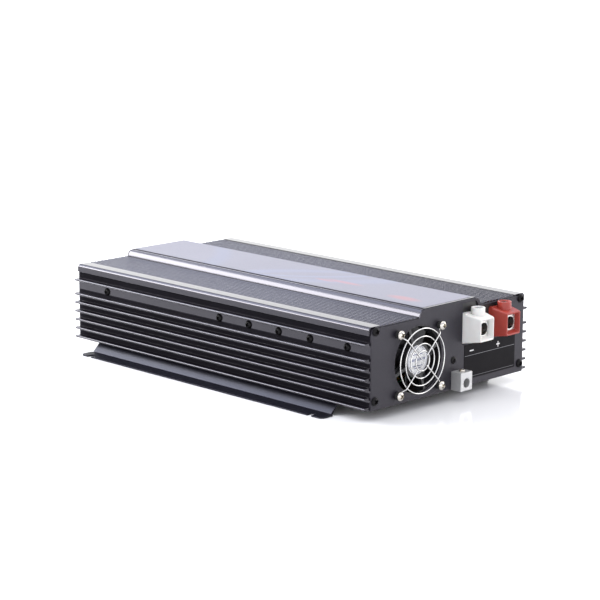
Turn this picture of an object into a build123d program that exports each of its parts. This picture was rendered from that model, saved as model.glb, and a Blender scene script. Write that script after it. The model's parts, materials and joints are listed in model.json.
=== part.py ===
from build123d import *
import math
import os

os.makedirs("parts", exist_ok=True)

# ---------------------------------------------------------------------------
# Power inverter: extruded aluminium case on two mounting rails, direct-current
# end at -Y (fan, two box terminals, ground lug), alternating-current end at +Y.
# Origin: on the surface the rails stand on, under the middle of the outline.
# ---------------------------------------------------------------------------

# Driving dimensions, mm
FLOOR_GAP = 11.4          # underside of the case above the mounting surface
WALL_X = 116.4            # outer face of each side wall
WALL_T = 3.0
FIN_TIP = 124.0           # outer edge of the fins
FIN_T = 2.6
FIN_Z = [66.4, 50.7, 41.1, 31.4, 21.8, 12.1, 2.5]   # above the underside
BODY_Y0, BODY_Y1 = -213.2, 225.8                    # ends of the extrusions
PANEL_T = 1.5
LIP_X = 119.0             # overhanging lip of the top cover
LIP_Z = FLOOR_GAP + 75.0
TOP_Z = FLOOR_GAP + 83.3  # shoulders and rib crests
PLATEAU_Z = FLOOR_GAP + 90.2
RIB_DEPTH = 1.3
RIB_PITCH = 4.93
RIBS = 11
RIB_X0 = 47.1
SKIN = 2.3                # cover skin

PANEL_TOP = 92.6          # top edge of the end panels under the ribs
UP_SCREW = (110.5, 89.9)  # upper corner screws (x, z)
LOW_SCREW = (111.0, 20.4)
CHANNEL_R = 2.0
SIDE_SCREW_Y = [178.5, -0.9, -44.6, -87.9, -132.0, -182.9]
SIDE_SCREW_Z = FLOOR_GAP + 58.7

RAIL_Y0, RAIL_Y1 = -172.5, 196.5
RAIL_T = 1.5
RAIL_OUT = 141.0
SLOT_X = 135.75
SLOT_R = 2.75
SLOT_Y = (-155.3, 181.5)
BASE_SCREW_X = 104.0
BASE_SCREW_Y = [-150.0, -30.0, 90.0, 180.0]

FAN_X, FAN_Z = -47.7, 51.2
FAN_SIZE = 70.0
FAN_DEPTH = 25.0
FAN_PITCH = 61.5          # screw square
FAN_BORE_R = 33.6

NEG_X, POS_X, TERM_Z = 33.7, 75.5, 72.0
TERM_OUT = 20.0           # housing stand-off
CABLE_R = 6.35
BORE_DEPTH = 22.0
CLAMP_OUT = 7.4           # clamp screw axis in front of the panel
LUG_X0, LUG_X1, LUG_OUT, LUG_TOP = 2.6, 20.2, 13.0, 30.6
LUG_BORE_X, LUG_BORE_Z, LUG_BORE_R = 11.6, 19.3, 4.75

YF = BODY_Y0 - PANEL_T    # front face of the DC panel
YR = BODY_Y1 + PANEL_T    # rear face of the AC panel

OUTLET_X, OUTLET_Z = 52.0, 62.0
ROCKER_X, ROCKER_Z = -25.0, 62.0
ROCKER_TILT = 11.0        # degrees each side of level
ROCKER_OUT = 7.4          # highest edge of the rocker above the panel
BUTTON_X = (47.6, 56.4)

MIN3 = (Align.MIN, Align.MIN, Align.MIN)
BASE_UP = (Align.CENTER, Align.CENTER, Align.MIN)


def xz(y):
    """Upright sketch plane across the case: local x is X, local y is Z."""
    return Plane(origin=(0, y, 0), x_dir=(1, 0, 0), z_dir=(0, -1, 0))


def block(x0, x1, y0, y1, z0, z1, mode=Mode.ADD):
    with Locations((x0, y0, z0)):
        Box(x1 - x0, y1 - y0, z1 - z0, align=MIN3, mode=mode)


def rod_y(x, z, r, y0, y1, mode=Mode.ADD):
    with Locations(Location((x, y0, z), (-90, 0, 0))):
        Cylinder(r, y1 - y0, align=BASE_UP, mode=mode)


def rod_x(y, z, r, x0, x1, mode=Mode.ADD):
    with Locations(Location((x0, y, z), (0, 90, 0))):
        Cylinder(r, x1 - x0, align=BASE_UP, mode=mode)


def rod_z(x, y, r, z0, z1, mode=Mode.ADD):
    with Locations((x, y, z0)):
        Cylinder(r, z1 - z0, align=BASE_UP, mode=mode)


def save(builder, node):
    builder.part.label = node
    export_step(builder.part, f"parts/{node}.step")


# ------------------------------------------------------------------ casing
rib_end = RIB_X0 + RIB_PITCH * RIBS
valley = TOP_Z - RIB_DEPTH
with BuildPart() as top_cover:
    with BuildSketch(xz(BODY_Y0)):
        with BuildLine():
            Polyline(
                (0, PLATEAU_Z), (38.5, PLATEAU_Z), (38.9, PLATEAU_Z - 0.1), (39.3, PLATEAU_Z - 0.75),
                (39.7, PLATEAU_Z - 0.3), (40.5, PLATEAU_Z - 0.55), (40.9, PLATEAU_Z - 1.2),
                (41.3, PLATEAU_Z - 0.75), (42.0, PLATEAU_Z - 1.0),
            )
            ThreePointArc((42.0, PLATEAU_Z - 1.0), (44.49, PLATEAU_Z - 4.22), (46.2, valley + 0.3))
            Polyline(
                (46.2, valley + 0.3), (46.2, valley - 0.7),
                (RIB_X0, valley - 0.7), (RIB_X0, valley),
            )
            for i in range(RIBS):
                x0 = RIB_X0 + RIB_PITCH * i
                Line((x0, valley), (x0 + 0.7, valley))
                ThreePointArc(
                    (x0 + 0.7, valley),
                    (x0 + 0.7 + (RIB_PITCH - 0.7) / 2, TOP_Z),
                    (x0 + RIB_PITCH, valley),
                )
            Polyline(
                (rib_end, valley), (rib_end, valley - 0.7), (rib_end + 1.2, valley - 0.7),
                (rib_end + 1.2, TOP_Z - 0.05), (LIP_X - 4.0, TOP_Z),
            )
            ThreePointArc(
                (LIP_X - 4.0, TOP_Z),
                (LIP_X - 4.0 + 4.0 * math.sin(math.pi / 4), TOP_Z - 4.0 + 4.0 * math.cos(math.pi / 4)),
                (LIP_X, TOP_Z - 4.0),
            )
            Polyline(
                (LIP_X, TOP_Z - 4.0), (LIP_X, LIP_Z + 0.5), (LIP_X - 0.5, LIP_Z), (105.0, LIP_Z),
                (105.0, TOP_Z - 3.1), (42.2, TOP_Z - 3.1), (42.2, PLATEAU_Z - 5.5),
                (40.2, PLATEAU_Z - SKIN - 0.1), (0, PLATEAU_Z - SKIN - 0.1), (0, PLATEAU_Z),
            )
        make_face()
        with Locations(UP_SCREW):
            Circle(CHANNEL_R, mode=Mode.SUBTRACT)
        mirror(about=Plane.YZ)
    extrude(amount=-(BODY_Y1 - BODY_Y0))
save(top_cover, "top_cover")

with BuildPart() as right_heatsink:
    with BuildSketch(xz(BODY_Y0)):
        with Locations((WALL_X - WALL_T / 2, (FLOOR_GAP + LIP_Z) / 2)):
            Rectangle(WALL_T, LIP_Z - FLOOR_GAP)
        with Locations((WALL_X, LIP_Z - 0.4)):
            Rectangle(2.0, 0.8, mode=Mode.SUBTRACT)
        with Locations(*[(WALL_X, FLOOR_GAP + z) for z in (69.6, 71.2, 72.8)]):
            Rectangle(0.8, 0.5, mode=Mode.SUBTRACT)
        with Locations(*[((WALL_X + FIN_TIP - FIN_T / 2) / 2 - 0.3, FLOOR_GAP + z) for z in FIN_Z]):
            Rectangle(FIN_TIP - FIN_T / 2 - WALL_X + 0.6, FIN_T)
        with Locations(*[(FIN_TIP - FIN_T / 2, FLOOR_GAP + z) for z in FIN_Z]):
            Circle(FIN_T / 2)
        with Locations((105.8, FLOOR_GAP + 3.0)):
            Rectangle(15.6, 3.0)
        with Locations((110.2, 20.3)):
            Rectangle(7.0, 9.4)
        with Locations(LOW_SCREW):
            Circle(CHANNEL_R, mode=Mode.SUBTRACT)
    extrude(amount=-(BODY_Y1 - BODY_Y0))
    with Locations(*[Location((WALL_X - 5, y, SIDE_SCREW_Z), (0, 90, 0)) for y in SIDE_SCREW_Y]):
        Cylinder(2.15, 12, mode=Mode.SUBTRACT)
    with Locations(*[(BASE_SCREW_X, y, FLOOR_GAP + 3.0) for y in BASE_SCREW_Y]):
        Cylinder(CHANNEL_R, 8, mode=Mode.SUBTRACT)
save(right_heatsink, "right_heatsink")

with BuildPart() as left_heatsink:
    add(right_heatsink.part.mirror(Plane.YZ))
save(left_heatsink, "left_heatsink")

with BuildPart() as base_plate:
    block(-113.2, 113.2, BODY_Y0, BODY_Y1, FLOOR_GAP, FLOOR_GAP + 1.5)
    with Locations(*[(s * BASE_SCREW_X, y, FLOOR_GAP) for s in (-1, 1) for y in BASE_SCREW_Y]):
        Cylinder(2.2, 8, mode=Mode.SUBTRACT)
    with Locations((0, 6, FLOOR_GAP + 0.75)):
        with GridLocations(184, 185, 2, 3):
            Cylinder(1.6, 4, mode=Mode.SUBTRACT)
save(base_plate, "base_plate")

# Z-section mounting rail: top flange under the case, sloping web, outer flange
with BuildPart() as right_foot_rail:
    with BuildSketch(xz(RAIL_Y0)):
        with BuildLine():
            Polyline(
                (97.0, FLOOR_GAP - RAIL_T), (97.0, FLOOR_GAP), (114.8, FLOOR_GAP), (124.2, RAIL_T),
                (RAIL_OUT, RAIL_T), (RAIL_OUT, 0), (123.56, 0), (114.16, FLOOR_GAP - RAIL_T), close=True,
            )
        make_face()
        outline = vertices()
        fillet(outline.sort_by_distance((114.8, FLOOR_GAP))[0], 1.9)
        fillet(vertices().sort_by_distance((114.16, FLOOR_GAP - RAIL_T))[0], 0.5)
        fillet(vertices().sort_by_distance((124.2, RAIL_T))[0], 0.5)
        fillet(vertices().sort_by_distance((123.56, 0))[0], 1.9)
    extrude(amount=-(RAIL_Y1 - RAIL_Y0))
    # the web and top flange stop short of the outer flange at both ends
    block(90, 125.2, RAIL_Y0 - 1, RAIL_Y0 + 3.5, -1, FLOOR_GAP + 1, Mode.SUBTRACT)
    block(90, 125.2, RAIL_Y1 - 2.0, RAIL_Y1 + 1, -1, FLOOR_GAP + 1, Mode.SUBTRACT)
    corners = edges().filter_by(Axis.Z).group_by(Axis.X)[-1]
    chamfer(corners, 3.5)
    # slots open at the outer edge
    for y in SLOT_Y:
        rod_z(SLOT_X, y, SLOT_R, -1, 4, Mode.SUBTRACT)
        block(SLOT_X, RAIL_OUT + 1, y - SLOT_R, y + SLOT_R, -1, 4, Mode.SUBTRACT)
    with Locations(*[(BASE_SCREW_X, y, FLOOR_GAP) for y in BASE_SCREW_Y]):
        Cylinder(2.2, 8, mode=Mode.SUBTRACT)
save(right_foot_rail, "right_foot_rail")

with BuildPart() as left_foot_rail:
    add(right_foot_rail.part.mirror(Plane.YZ))
save(left_foot_rail, "left_foot_rail")

with BuildPart() as base_screws:
    for s in (-1, 1):
        for y in BASE_SCREW_Y:
            rod_z(s * BASE_SCREW_X, y, 3.4, FLOOR_GAP - RAIL_T - 1.9, FLOOR_GAP - RAIL_T)
            rod_z(s * BASE_SCREW_X, y, 1.9, FLOOR_GAP - RAIL_T - 0.1, FLOOR_GAP + 4.5)
save(base_screws, "base_screws")

with BuildPart() as top_label:
    block(-37.6, 37.6, BODY_Y0 + 3.0, BODY_Y1 - 3.0, PLATEAU_Z, PLATEAU_Z + 0.3)
    fillet(edges().filter_by(Axis.Z), 2.0)
save(top_label, "top_label")


# ------------------------------------------------------------- end panels
def panel_outline():
    """Closed outline of an end panel: square to the walls, following the raised band."""
    with BuildLine() as line:
        Polyline(
            (0, FLOOR_GAP), (WALL_X, FLOOR_GAP), (WALL_X, PANEL_TOP - 3.0), (WALL_X - 3.0, PANEL_TOP),
            (46.4, PANEL_TOP), (45.0, 96.6), (43.6, 99.0), (41.2, 100.4), (38.0, 100.8), (0, 100.8),
            (0, FLOOR_GAP),
        )
    return line


with BuildPart() as dc_panel:
    with BuildSketch(xz(BODY_Y0)) as dc_face:
        add(make_face(panel_outline().edges(), mode=Mode.PRIVATE))
        mirror(about=Plane.YZ)
        with Locations((FAN_X, FAN_Z)):
            Circle(34.75, mode=Mode.SUBTRACT)
            with GridLocations(FAN_PITCH, FAN_PITCH, 2, 2):
                Circle(2.25, mode=Mode.SUBTRACT)
        with Locations(UP_SCREW, (-UP_SCREW[0], UP_SCREW[1]), LOW_SCREW, (-LOW_SCREW[0], LOW_SCREW[1]), (5.5, 41.8)):
            Circle(2.2, mode=Mode.SUBTRACT)
        with BuildLine():
            Polyline(
                (18.6, 55.6), (91.0, 55.6), (91.0, 91.2), (42.6, 91.2), (41.6, 95.6), (39.4, 98.0),
                (18.6, 98.0), close=True,
            )
        make_face(mode=Mode.SUBTRACT)
    extrude(amount=PANEL_T)
save(dc_panel, "dc_panel")

VENTS = [(-108.0 + 6.2 * i, 57.0) for i in range(8)]
LOW_VENTS = [(4.0 + 7.0 * i, 25.5) for i in range(14)]
LEDS = [(-50.0, 72.0), (-50.0, 60.0)]
JACK_X, JACK_Z = -50.0, 36.0
with BuildPart() as ac_panel:
    with BuildSketch(xz(BODY_Y1)):
        add(make_face(panel_outline().edges(), mode=Mode.PRIVATE))
        mirror(about=Plane.YZ)
        with Locations(UP_SCREW, (-UP_SCREW[0], UP_SCREW[1]), LOW_SCREW, (-LOW_SCREW[0], LOW_SCREW[1])):
            Circle(2.2, mode=Mode.SUBTRACT)
        with Locations((OUTLET_X, OUTLET_Z)):
            Rectangle(68.4, 35.0, mode=Mode.SUBTRACT)
            with GridLocations(83.4, 1, 2, 1):
                Circle(2.2, mode=Mode.SUBTRACT)
        with Locations((ROCKER_X, ROCKER_Z)):
            Rectangle(22.4, 30.4, mode=Mode.SUBTRACT)
        with Locations(*LEDS):
            Circle(2.6, mode=Mode.SUBTRACT)
        with Locations((JACK_X, JACK_Z)):
            Rectangle(14.4, 12.4, mode=Mode.SUBTRACT)
        with Locations(*VENTS):
            SlotCenterToCenter(50.0, 3.2, rotation=90, mode=Mode.SUBTRACT)
        with Locations(*LOW_VENTS):
            SlotCenterToCenter(9.0, 3.2, rotation=90, mode=Mode.SUBTRACT)
    extrude(amount=-PANEL_T)
save(ac_panel, "ac_panel")


def pan_screw_y(x, z, head_r, head_h, shank_r, length, y_face, out):
    """Pan-head machine screw along Y with a cross recess; out is -1 or +1."""
    y_a, y_b = sorted((y_face, y_face + out * head_h))
    rod_y(x, z, head_r, y_a, y_b)
    y_a, y_b = sorted((y_face, y_face - out * length))
    rod_y(x, z, shank_r, y_a, y_b)
    y_a, y_b = sorted((y_face + out * head_h, y_face + out * head_h * 0.45))
    arm = head_r * 0.5
    block(x - arm, x + arm, y_a, y_b, z - 0.55, z + 0.55, Mode.SUBTRACT)
    block(x - 0.55, x + 0.55, y_a, y_b, z - arm, z + arm, Mode.SUBTRACT)


with BuildPart() as dc_panel_screws:
    for x, z in (UP_SCREW, (-UP_SCREW[0], UP_SCREW[1]), LOW_SCREW, (-LOW_SCREW[0], LOW_SCREW[1]), (5.5, 41.8)):
        pan_screw_y(x, z, *((4.5, 3.2, 1.9, 9.0) if x != 5.5 else (3.9, 1.6, 1.9, 6.0)), YF, -1)
save(dc_panel_screws, "dc_panel_screws")

with BuildPart() as ac_panel_screws:
    for x, z in (UP_SCREW, (-UP_SCREW[0], UP_SCREW[1]), LOW_SCREW, (-LOW_SCREW[0], LOW_SCREW[1])):
        pan_screw_y(x, z, 4.5, 3.2, 1.9, 9.0, YR, 1)
save(ac_panel_screws, "ac_panel_screws")

with BuildPart() as side_screws:
    for s in (-1, 1):
        for y in SIDE_SCREW_Y:
            a, b = sorted((s * WALL_X, s * (WALL_X + 2.8)))
            rod_x(y, SIDE_SCREW_Z, 4.1, a, b)
            a, b = sorted((s * WALL_X, s * (WALL_X - 13.0)))
            rod_x(y, SIDE_SCREW_Z, 1.95, a, b)
            a, b = sorted((s * (WALL_X + 2.9), s * (WALL_X + 1.4)))
            block(a, b, y - 1.8, y + 1.8, SIDE_SCREW_Z - 0.5, SIDE_SCREW_Z + 0.5, Mode.SUBTRACT)
            block(a, b, y - 0.5, y + 0.5, SIDE_SCREW_Z - 1.8, SIDE_SCREW_Z + 1.8, Mode.SUBTRACT)
save(side_screws, "side_screws")

# ------------------------------------------------------------------- fan
F0 = BODY_Y0              # front face of the fan frame
F1 = BODY_Y0 + FAN_DEPTH
HUB_R = 18.0
with BuildPart() as fan_frame:
    with BuildSketch(xz(F0)):
        with Locations((FAN_X, FAN_Z)):
            RectangleRounded(FAN_SIZE, FAN_SIZE, 5.0)
            Circle(FAN_BORE_R, mode=Mode.SUBTRACT)
            with GridLocations(FAN_PITCH, FAN_PITCH, 2, 2):
                Circle(2.15, mode=Mode.SUBTRACT)
    extrude(amount=-FAN_DEPTH)
    # corner posts are open between the two flanges
    with BuildSketch(xz(F0 + 4.0)):
        with Locations((FAN_X, FAN_Z)):
            with GridLocations(FAN_PITCH, FAN_PITCH, 2, 2):
                Rectangle(12.0, 12.0)
            Circle(FAN_BORE_R + 1.6, mode=Mode.SUBTRACT)
            with GridLocations(FAN_PITCH, FAN_PITCH, 2, 2):
                Circle(3.6, mode=Mode.SUBTRACT)
    extrude(amount=-(FAN_DEPTH - 8.0), mode=Mode.SUBTRACT)
    # four struts and the fixed hub on the outer side
    with BuildSketch(xz(F0)):
        with Locations((FAN_X, FAN_Z)):
            Circle(HUB_R)
            with PolarLocations((HUB_R + FAN_BORE_R) / 2, 4, start_angle=20):
                Rectangle(FAN_BORE_R - HUB_R + 1.5, 3.2)
    extrude(amount=-3.5)
    rod_y(FAN_X, FAN_Z, 4.2, F0 + 3.0, F0 + 18.5)
    rod_y(FAN_X, FAN_Z, 1.55, F0 + 3.0, F0 + 19.0, Mode.SUBTRACT)
save(fan_frame, "fan_frame")

with BuildPart() as fan_stator:
    rod_y(FAN_X, FAN_Z, 12.6, F0 + 6.5, F0 + 15.5)
    rod_y(FAN_X, FAN_Z, 4.3, F0 + 6.0, F0 + 16.0, Mode.SUBTRACT)
save(fan_stator, "fan_stator")

with BuildPart() as fan_rotor:
    # cup over the stator, open to the front, on a shaft in the hub's bearing tube
    rod_y(FAN_X, FAN_Z, 16.8, F0 + 4.4, F0 + 22.5)
    fillet(edges().filter_by(GeomType.CIRCLE).group_by(Axis.Y)[-1], 1.5)
    for k in range(7):
        a = 360.0 / 7 * k + 8
        radial = Vector(math.cos(math.radians(a)), 0, math.sin(math.radians(a)))
        tangent = Vector(-radial.Z, 0, radial.X)
        hub = Vector(FAN_X, F0 + 13.2, FAN_Z)
        for rho, pitch, chord, thick in ((14.2, 56, 17.5, 1.7), (32.3, 50, 20.0, 1.2)):
            along = Vector(0, math.cos(math.radians(pitch)), 0) + tangent * math.sin(math.radians(pitch))
            with BuildSketch(Plane(origin=hub + radial * rho, x_dir=along, z_dir=radial)):
                Rectangle(chord, thick)
        loft(mode=Mode.ADD)
    rod_y(FAN_X, FAN_Z, 32.9, F0 + 4.4, F0 + 24.0, Mode.INTERSECT)
    rod_y(FAN_X, FAN_Z, 14.0, F0 + 4.0, F0 + 19.6, Mode.SUBTRACT)
    rod_y(FAN_X, FAN_Z, 1.5, F0 + 4.4, F0 + 20.0)
save(fan_rotor, "fan_rotor")

with BuildPart() as fan_hub_label:
    rod_y(FAN_X, FAN_Z, 14.7, F0 - 0.3, F0)
save(fan_hub_label, "fan_hub_label")

WIRE_R = 0.65
RING_Y = YF - 5.6
RAD_Y = RING_Y - 1.2
EYE_Y = YF - 3.0 - WIRE_R
with BuildPart() as fan_guard:
    for k, inner in enumerate((7.5, 2.0, 12.5, 7.5)):
        a = math.radians(45 + 90 * k)
        c, s = math.cos(a), math.sin(a)

        def at(rho, y):
            return (FAN_X + rho * c, y, FAN_Z + rho * s)

        eye = FAN_PITCH / math.sqrt(2)
        with BuildLine() as stem:
            FilletPolyline(at(inner, RAD_Y), at(35.0, RAD_Y), at(37.6, EYE_Y), at(eye - 3.4, EYE_Y), radius=1.6)
        with BuildSketch(Plane(origin=at(inner, RAD_Y), z_dir=(c, 0, s))):
            Circle(WIRE_R)
        sweep(path=stem.wires()[0])
        with Locations(Location((*at(eye, EYE_Y),), (90, 0, 0))):
            Torus(3.2, WIRE_R)
    for r in (32.8, 24.8, 17.4, 10.1):
        with Locations(Location((FAN_X, RING_Y, FAN_Z), (90, 0, 0))):
            Torus(r, WIRE_R)
save(fan_guard, "fan_guard")

with BuildPart() as fan_guard_spacers:
    with BuildSketch(xz(YF)):
        with Locations((FAN_X, FAN_Z)):
            with GridLocations(FAN_PITCH, FAN_PITCH, 2, 2):
                Circle(4.0)
                Circle(2.3, mode=Mode.SUBTRACT)
    extrude(amount=3.0)
save(fan_guard_spacers, "fan_guard_spacers")

with BuildPart() as fan_screws:
    for sx in (-1, 1):
        for sz in (-1, 1):
            pan_screw_y(
                FAN_X + sx * FAN_PITCH / 2, FAN_Z + sz * FAN_PITCH / 2,
                4.6, 3.0, 2.0, 13.0, EYE_Y - WIRE_R, -1,
            )
save(fan_screws, "fan_screws")

# -------------------------------------------------------------- terminals
Y_CLAMP = YF - CLAMP_OUT
Y_TUBE = YF - 15.0        # face of the metal block inside the funnel
Y_TIP = YF - TERM_OUT
BLOCK_Y1 = BODY_Y0 + 10.0
with BuildPart() as terminal_carrier:
    with BuildSketch(xz(BODY_Y0)):
        with BuildLine():
            Polyline(
                (-1.0, 36.0), (12.0, 36.0), (15.0, 50.0), (96.0, 50.0), (96.0, 91.3), (43.0, 91.3),
                (42.0, 95.0), (40.0, 98.6), (15.0, 98.6), (15.0, 52.0), (-1.0, 48.0), close=True,
            )
        make_face()
        with Locations(*[(x, TERM_Z) for x in (NEG_X, POS_X)]):
            Rectangle(16.5, 16.5, mode=Mode.SUBTRACT)
        with Locations((5.5, 41.8)):
            Circle(2.0, mode=Mode.SUBTRACT)
    extrude(amount=-3.0)
save(terminal_carrier, "terminal_carrier")


def terminal_housing(cx):
    """Tapered insulating shroud with a square funnel and a round screw well on top."""
    with BuildPart() as housing:
        with BuildSketch(xz(BODY_Y0)):
            with Locations((cx, TERM_Z)):
                RectangleRounded(29.2, 31.6, 1.6)
        with BuildSketch(xz(Y_TIP)):
            with Locations((cx, TERM_Z)):
                RectangleRounded(21.0, 23.6, 1.6)
        loft()
        # screw well boss
        with BuildSketch(Plane.XY.offset(TERM_Z + 8.0)):
            with Locations((cx, Y_CLAMP)):
                Circle(7.15)
        extrude(amount=13.4)
        # funnel
        with BuildSketch(xz(Y_TIP)):
            with Locations((cx, TERM_Z)):
                RectangleRounded(18.6, 20.6, 1.0)
        with BuildSketch(xz(Y_TUBE)):
            with Locations((cx, TERM_Z)):
                RectangleRounded(15.6, 15.6, 1.0)
        loft(mode=Mode.SUBTRACT)
        # pocket for the metal block and its raised screw land
        block(cx - 8.1, cx + 8.1, Y_TUBE, BODY_Y0 + 1, TERM_Z - 8.1, TERM_Z + 8.1, Mode.SUBTRACT)
        block(cx - 6.7, cx + 6.7, YF - 13.2, BODY_Y0 + 1, TERM_Z + 8.0, TERM_Z + 11.7, Mode.SUBTRACT)
        rod_z(cx, Y_CLAMP, 5.0, TERM_Z + 11.0, TERM_Z + 30, Mode.SUBTRACT)
        rod_z(cx, Y_CLAMP, 5.7, TERM_Z + 20.6, TERM_Z + 30, Mode.SUBTRACT)
    return housing


def terminal_block(cx):
    with BuildPart() as body:
        block(cx - 8.0, cx + 8.0, Y_TUBE, BLOCK_Y1, TERM_Z - 8.0, TERM_Z + 8.0)
        block(cx - 6.5, cx + 6.5, YF - 13.0, BODY_Y0 - 0.3, TERM_Z + 7.9, TERM_Z + 11.5)
        rod_y(cx, TERM_Z, CABLE_R, Y_TUBE, Y_TUBE + BORE_DEPTH, Mode.SUBTRACT)
        rod_z(cx, Y_CLAMP, 4.0, TERM_Z, TERM_Z + 20, Mode.SUBTRACT)
    return body


def clamp_screw(cx):
    with BuildPart() as screw:
        with BuildSketch(Plane.XY.offset(TERM_Z + 8.15)):
            with Locations((cx, Y_CLAMP)):
                Circle(3.95)
        extrude(amount=12.0)
        with BuildSketch(Plane.XY.offset(TERM_Z + 20.15)):
            with Locations((cx, Y_CLAMP)):
                RegularPolygon(2.5, 6)
        extrude(amount=-4.5, mode=Mode.SUBTRACT)
    return screw


def clamp_pad(cx):
    with BuildPart() as pad:
        rod_z(cx, Y_CLAMP, 3.6, TERM_Z + 6.6, TERM_Z + 8.1)
        chamfer(edges().filter_by(GeomType.CIRCLE).group_by(Axis.Z)[0], 0.3)
    return pad


for name, cx in (("neg", NEG_X), ("pos", POS_X)):
    save(terminal_housing(cx), f"{name}_terminal_housing")
    save(terminal_block(cx), f"{name}_terminal_block")
    save(clamp_screw(cx), f"{name}_clamp_screw")
    save(clamp_pad(cx), f"{name}_clamp_pad")

with BuildPart() as ground_lug:
    block(LUG_X0, LUG_X1, YF - LUG_OUT, YF, FLOOR_GAP, LUG_TOP)
    chamfer(edges().filter_by(Axis.Y), 0.6)
    rod_y(LUG_BORE_X, LUG_BORE_Z, LUG_BORE_R, YF - LUG_OUT, YF - 0.8, Mode.SUBTRACT)
    rod_z(LUG_BORE_X, YF - LUG_OUT / 2, 3.0, LUG_BORE_Z, LUG_TOP + 1, Mode.SUBTRACT)
save(ground_lug, "ground_lug")

with BuildPart() as ground_lug_screw:
    rod_z(LUG_BORE_X, YF - LUG_OUT / 2, 2.95, LUG_BORE_Z + LUG_BORE_R + 0.3, LUG_TOP + 1.8)
    block(LUG_BORE_X - 4, LUG_BORE_X + 4, YF - LUG_OUT / 2 - 0.6, YF - LUG_OUT / 2 + 0.6, LUG_TOP + 0.2, LUG_TOP + 3, Mode.SUBTRACT)
save(ground_lug_screw, "ground_lug_screw")

with BuildPart() as terminal_label:
    block(22.0, 103.0, YF - 0.25, YF, 18.1, 54.4)
save(terminal_label, "terminal_label")

# ------------------------------------------------------ switch and outlet
RY = YR                  # outer face of the AC panel
with BuildPart() as rocker_frame:
    with BuildSketch(xz(RY)):
        with Locations((ROCKER_X, ROCKER_Z)):
            RectangleRounded(26.0, 34.0, 2.0)
    extrude(amount=-1.8)
    block(ROCKER_X - 11.1, ROCKER_X + 11.1, RY - 20.0, RY, ROCKER_Z - 15.1, ROCKER_Z + 15.1)
    block(ROCKER_X - 9.4, ROCKER_X + 9.4, RY - 9.0, RY + 3, ROCKER_Z - 13.4, ROCKER_Z + 13.4, Mode.SUBTRACT)
    rod_x(RY - 1.5, ROCKER_Z, 1.5, ROCKER_X - 9.5, ROCKER_X + 9.5)
    block(ROCKER_X - 3.0, ROCKER_X + 3.0, RY - 6.5, RY + 3, ROCKER_Z - 3.0, ROCKER_Z + 3.0, Mode.SUBTRACT)
    # blade connectors on the back
    for dx, dz in ((-4, 6), (-4, -6), (4, 0)):
        block(ROCKER_X + dx - 0.4, ROCKER_X + dx + 0.4, RY - 28.0, RY - 19.9, ROCKER_Z + dz - 3, ROCKER_Z + dz + 3)
save(rocker_frame, "rocker_frame")

PIVOT_Y = RY - 1.5
with BuildPart() as rocker:
    lean = math.radians(ROCKER_TILT)
    tilted = Plane(
        origin=(ROCKER_X + 9.1, PIVOT_Y, ROCKER_Z), x_dir=(0, math.sin(lean), math.cos(lean)), z_dir=(-1, 0, 0)
    )
    crest = (ROCKER_OUT + 1.5 - 11.1 * math.sin(lean)) / math.cos(lean)
    with BuildSketch(tilted):
        with BuildLine():
            Polyline((-11.9, -2.4), (11.9, -2.4), (12.2, 5.4), (11.1, crest))
            ThreePointArc((11.1, crest), (0, crest - 1.9), (-11.1, crest))
            Polyline((-11.1, crest), (-12.2, 5.4), (-11.9, -2.4))
        make_face()
        Circle(1.56, mode=Mode.SUBTRACT)
    extrude(amount=18.2)
save(rocker, "rocker")

with BuildPart() as receptacle:
    with BuildSketch(xz(RY - 31.0)):
        with Locations((OUTLET_X, OUTLET_Z)):
            RectangleRounded(67.0, 33.6, 3.0)
    extrude(amount=-(31.0 + 3.4))
    # mounting strap behind the panel
    block(OUTLET_X - 50, OUTLET_X + 50, BODY_Y1 - 1.6, BODY_Y1, OUTLET_Z - 9, OUTLET_Z + 9)
    with Locations(*[Location((OUTLET_X + s * 41.7, BODY_Y1, OUTLET_Z), (90, 0, 0)) for s in (-1, 1)]):
        Cylinder(1.7, 8, mode=Mode.SUBTRACT)
    for s in (-1, 1):
        xc = OUTLET_X + s * 17.0
        block(xc - 4.3, xc + 4.3, RY - 12.0, RY + 4, OUTLET_Z + 5.15, OUTLET_Z + 7.55, Mode.SUBTRACT)
        block(xc - 3.5, xc + 3.5, RY - 12.0, RY + 4, OUTLET_Z - 7.45, OUTLET_Z - 5.25, Mode.SUBTRACT)
        rod_y(xc + s * 10.6, OUTLET_Z, 2.7, RY - 14.0, RY + 4, Mode.SUBTRACT)
    for bx in BUTTON_X:
        block(bx - 3.5, bx + 3.5, RY - 6.0, RY + 4, OUTLET_Z - 7.3, OUTLET_Z + 7.3, Mode.SUBTRACT)
save(receptacle, "receptacle")

with BuildPart() as receptacle_bezel:
    with BuildSketch(xz(RY)):
        with Locations((OUTLET_X, OUTLET_Z)):
            RectangleRounded(102.0, 46.0, 4.0)
            RectangleRounded(67.4, 34.0, 3.2, mode=Mode.SUBTRACT)
            with GridLocations(83.4, 1, 2, 1):
                Circle(2.2, mode=Mode.SUBTRACT)
    extrude(amount=-2.0)
    chamfer(faces().sort_by(Axis.Y)[-1].outer_wire().edges(), 0.8)
save(receptacle_bezel, "receptacle_bezel")

with BuildPart() as receptacle_screws:
    for s in (-1, 1):
        pan_screw_y(OUTLET_X + s * 41.7, OUTLET_Z, 3.2, 1.8, 1.65, 8.0, RY + 2.0, 1)
save(receptacle_screws, "receptacle_screws")

for name, bx in (("test", BUTTON_X[0]), ("reset", BUTTON_X[1])):
    with BuildPart() as button:
        block(bx - 3.3, bx + 3.3, RY - 2.6, RY + 5.0, OUTLET_Z - 7.1, OUTLET_Z + 7.1)
        chamfer(faces().sort_by(Axis.Y)[-1].edges(), 0.5)
    save(button, f"{name}_button")

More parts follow.
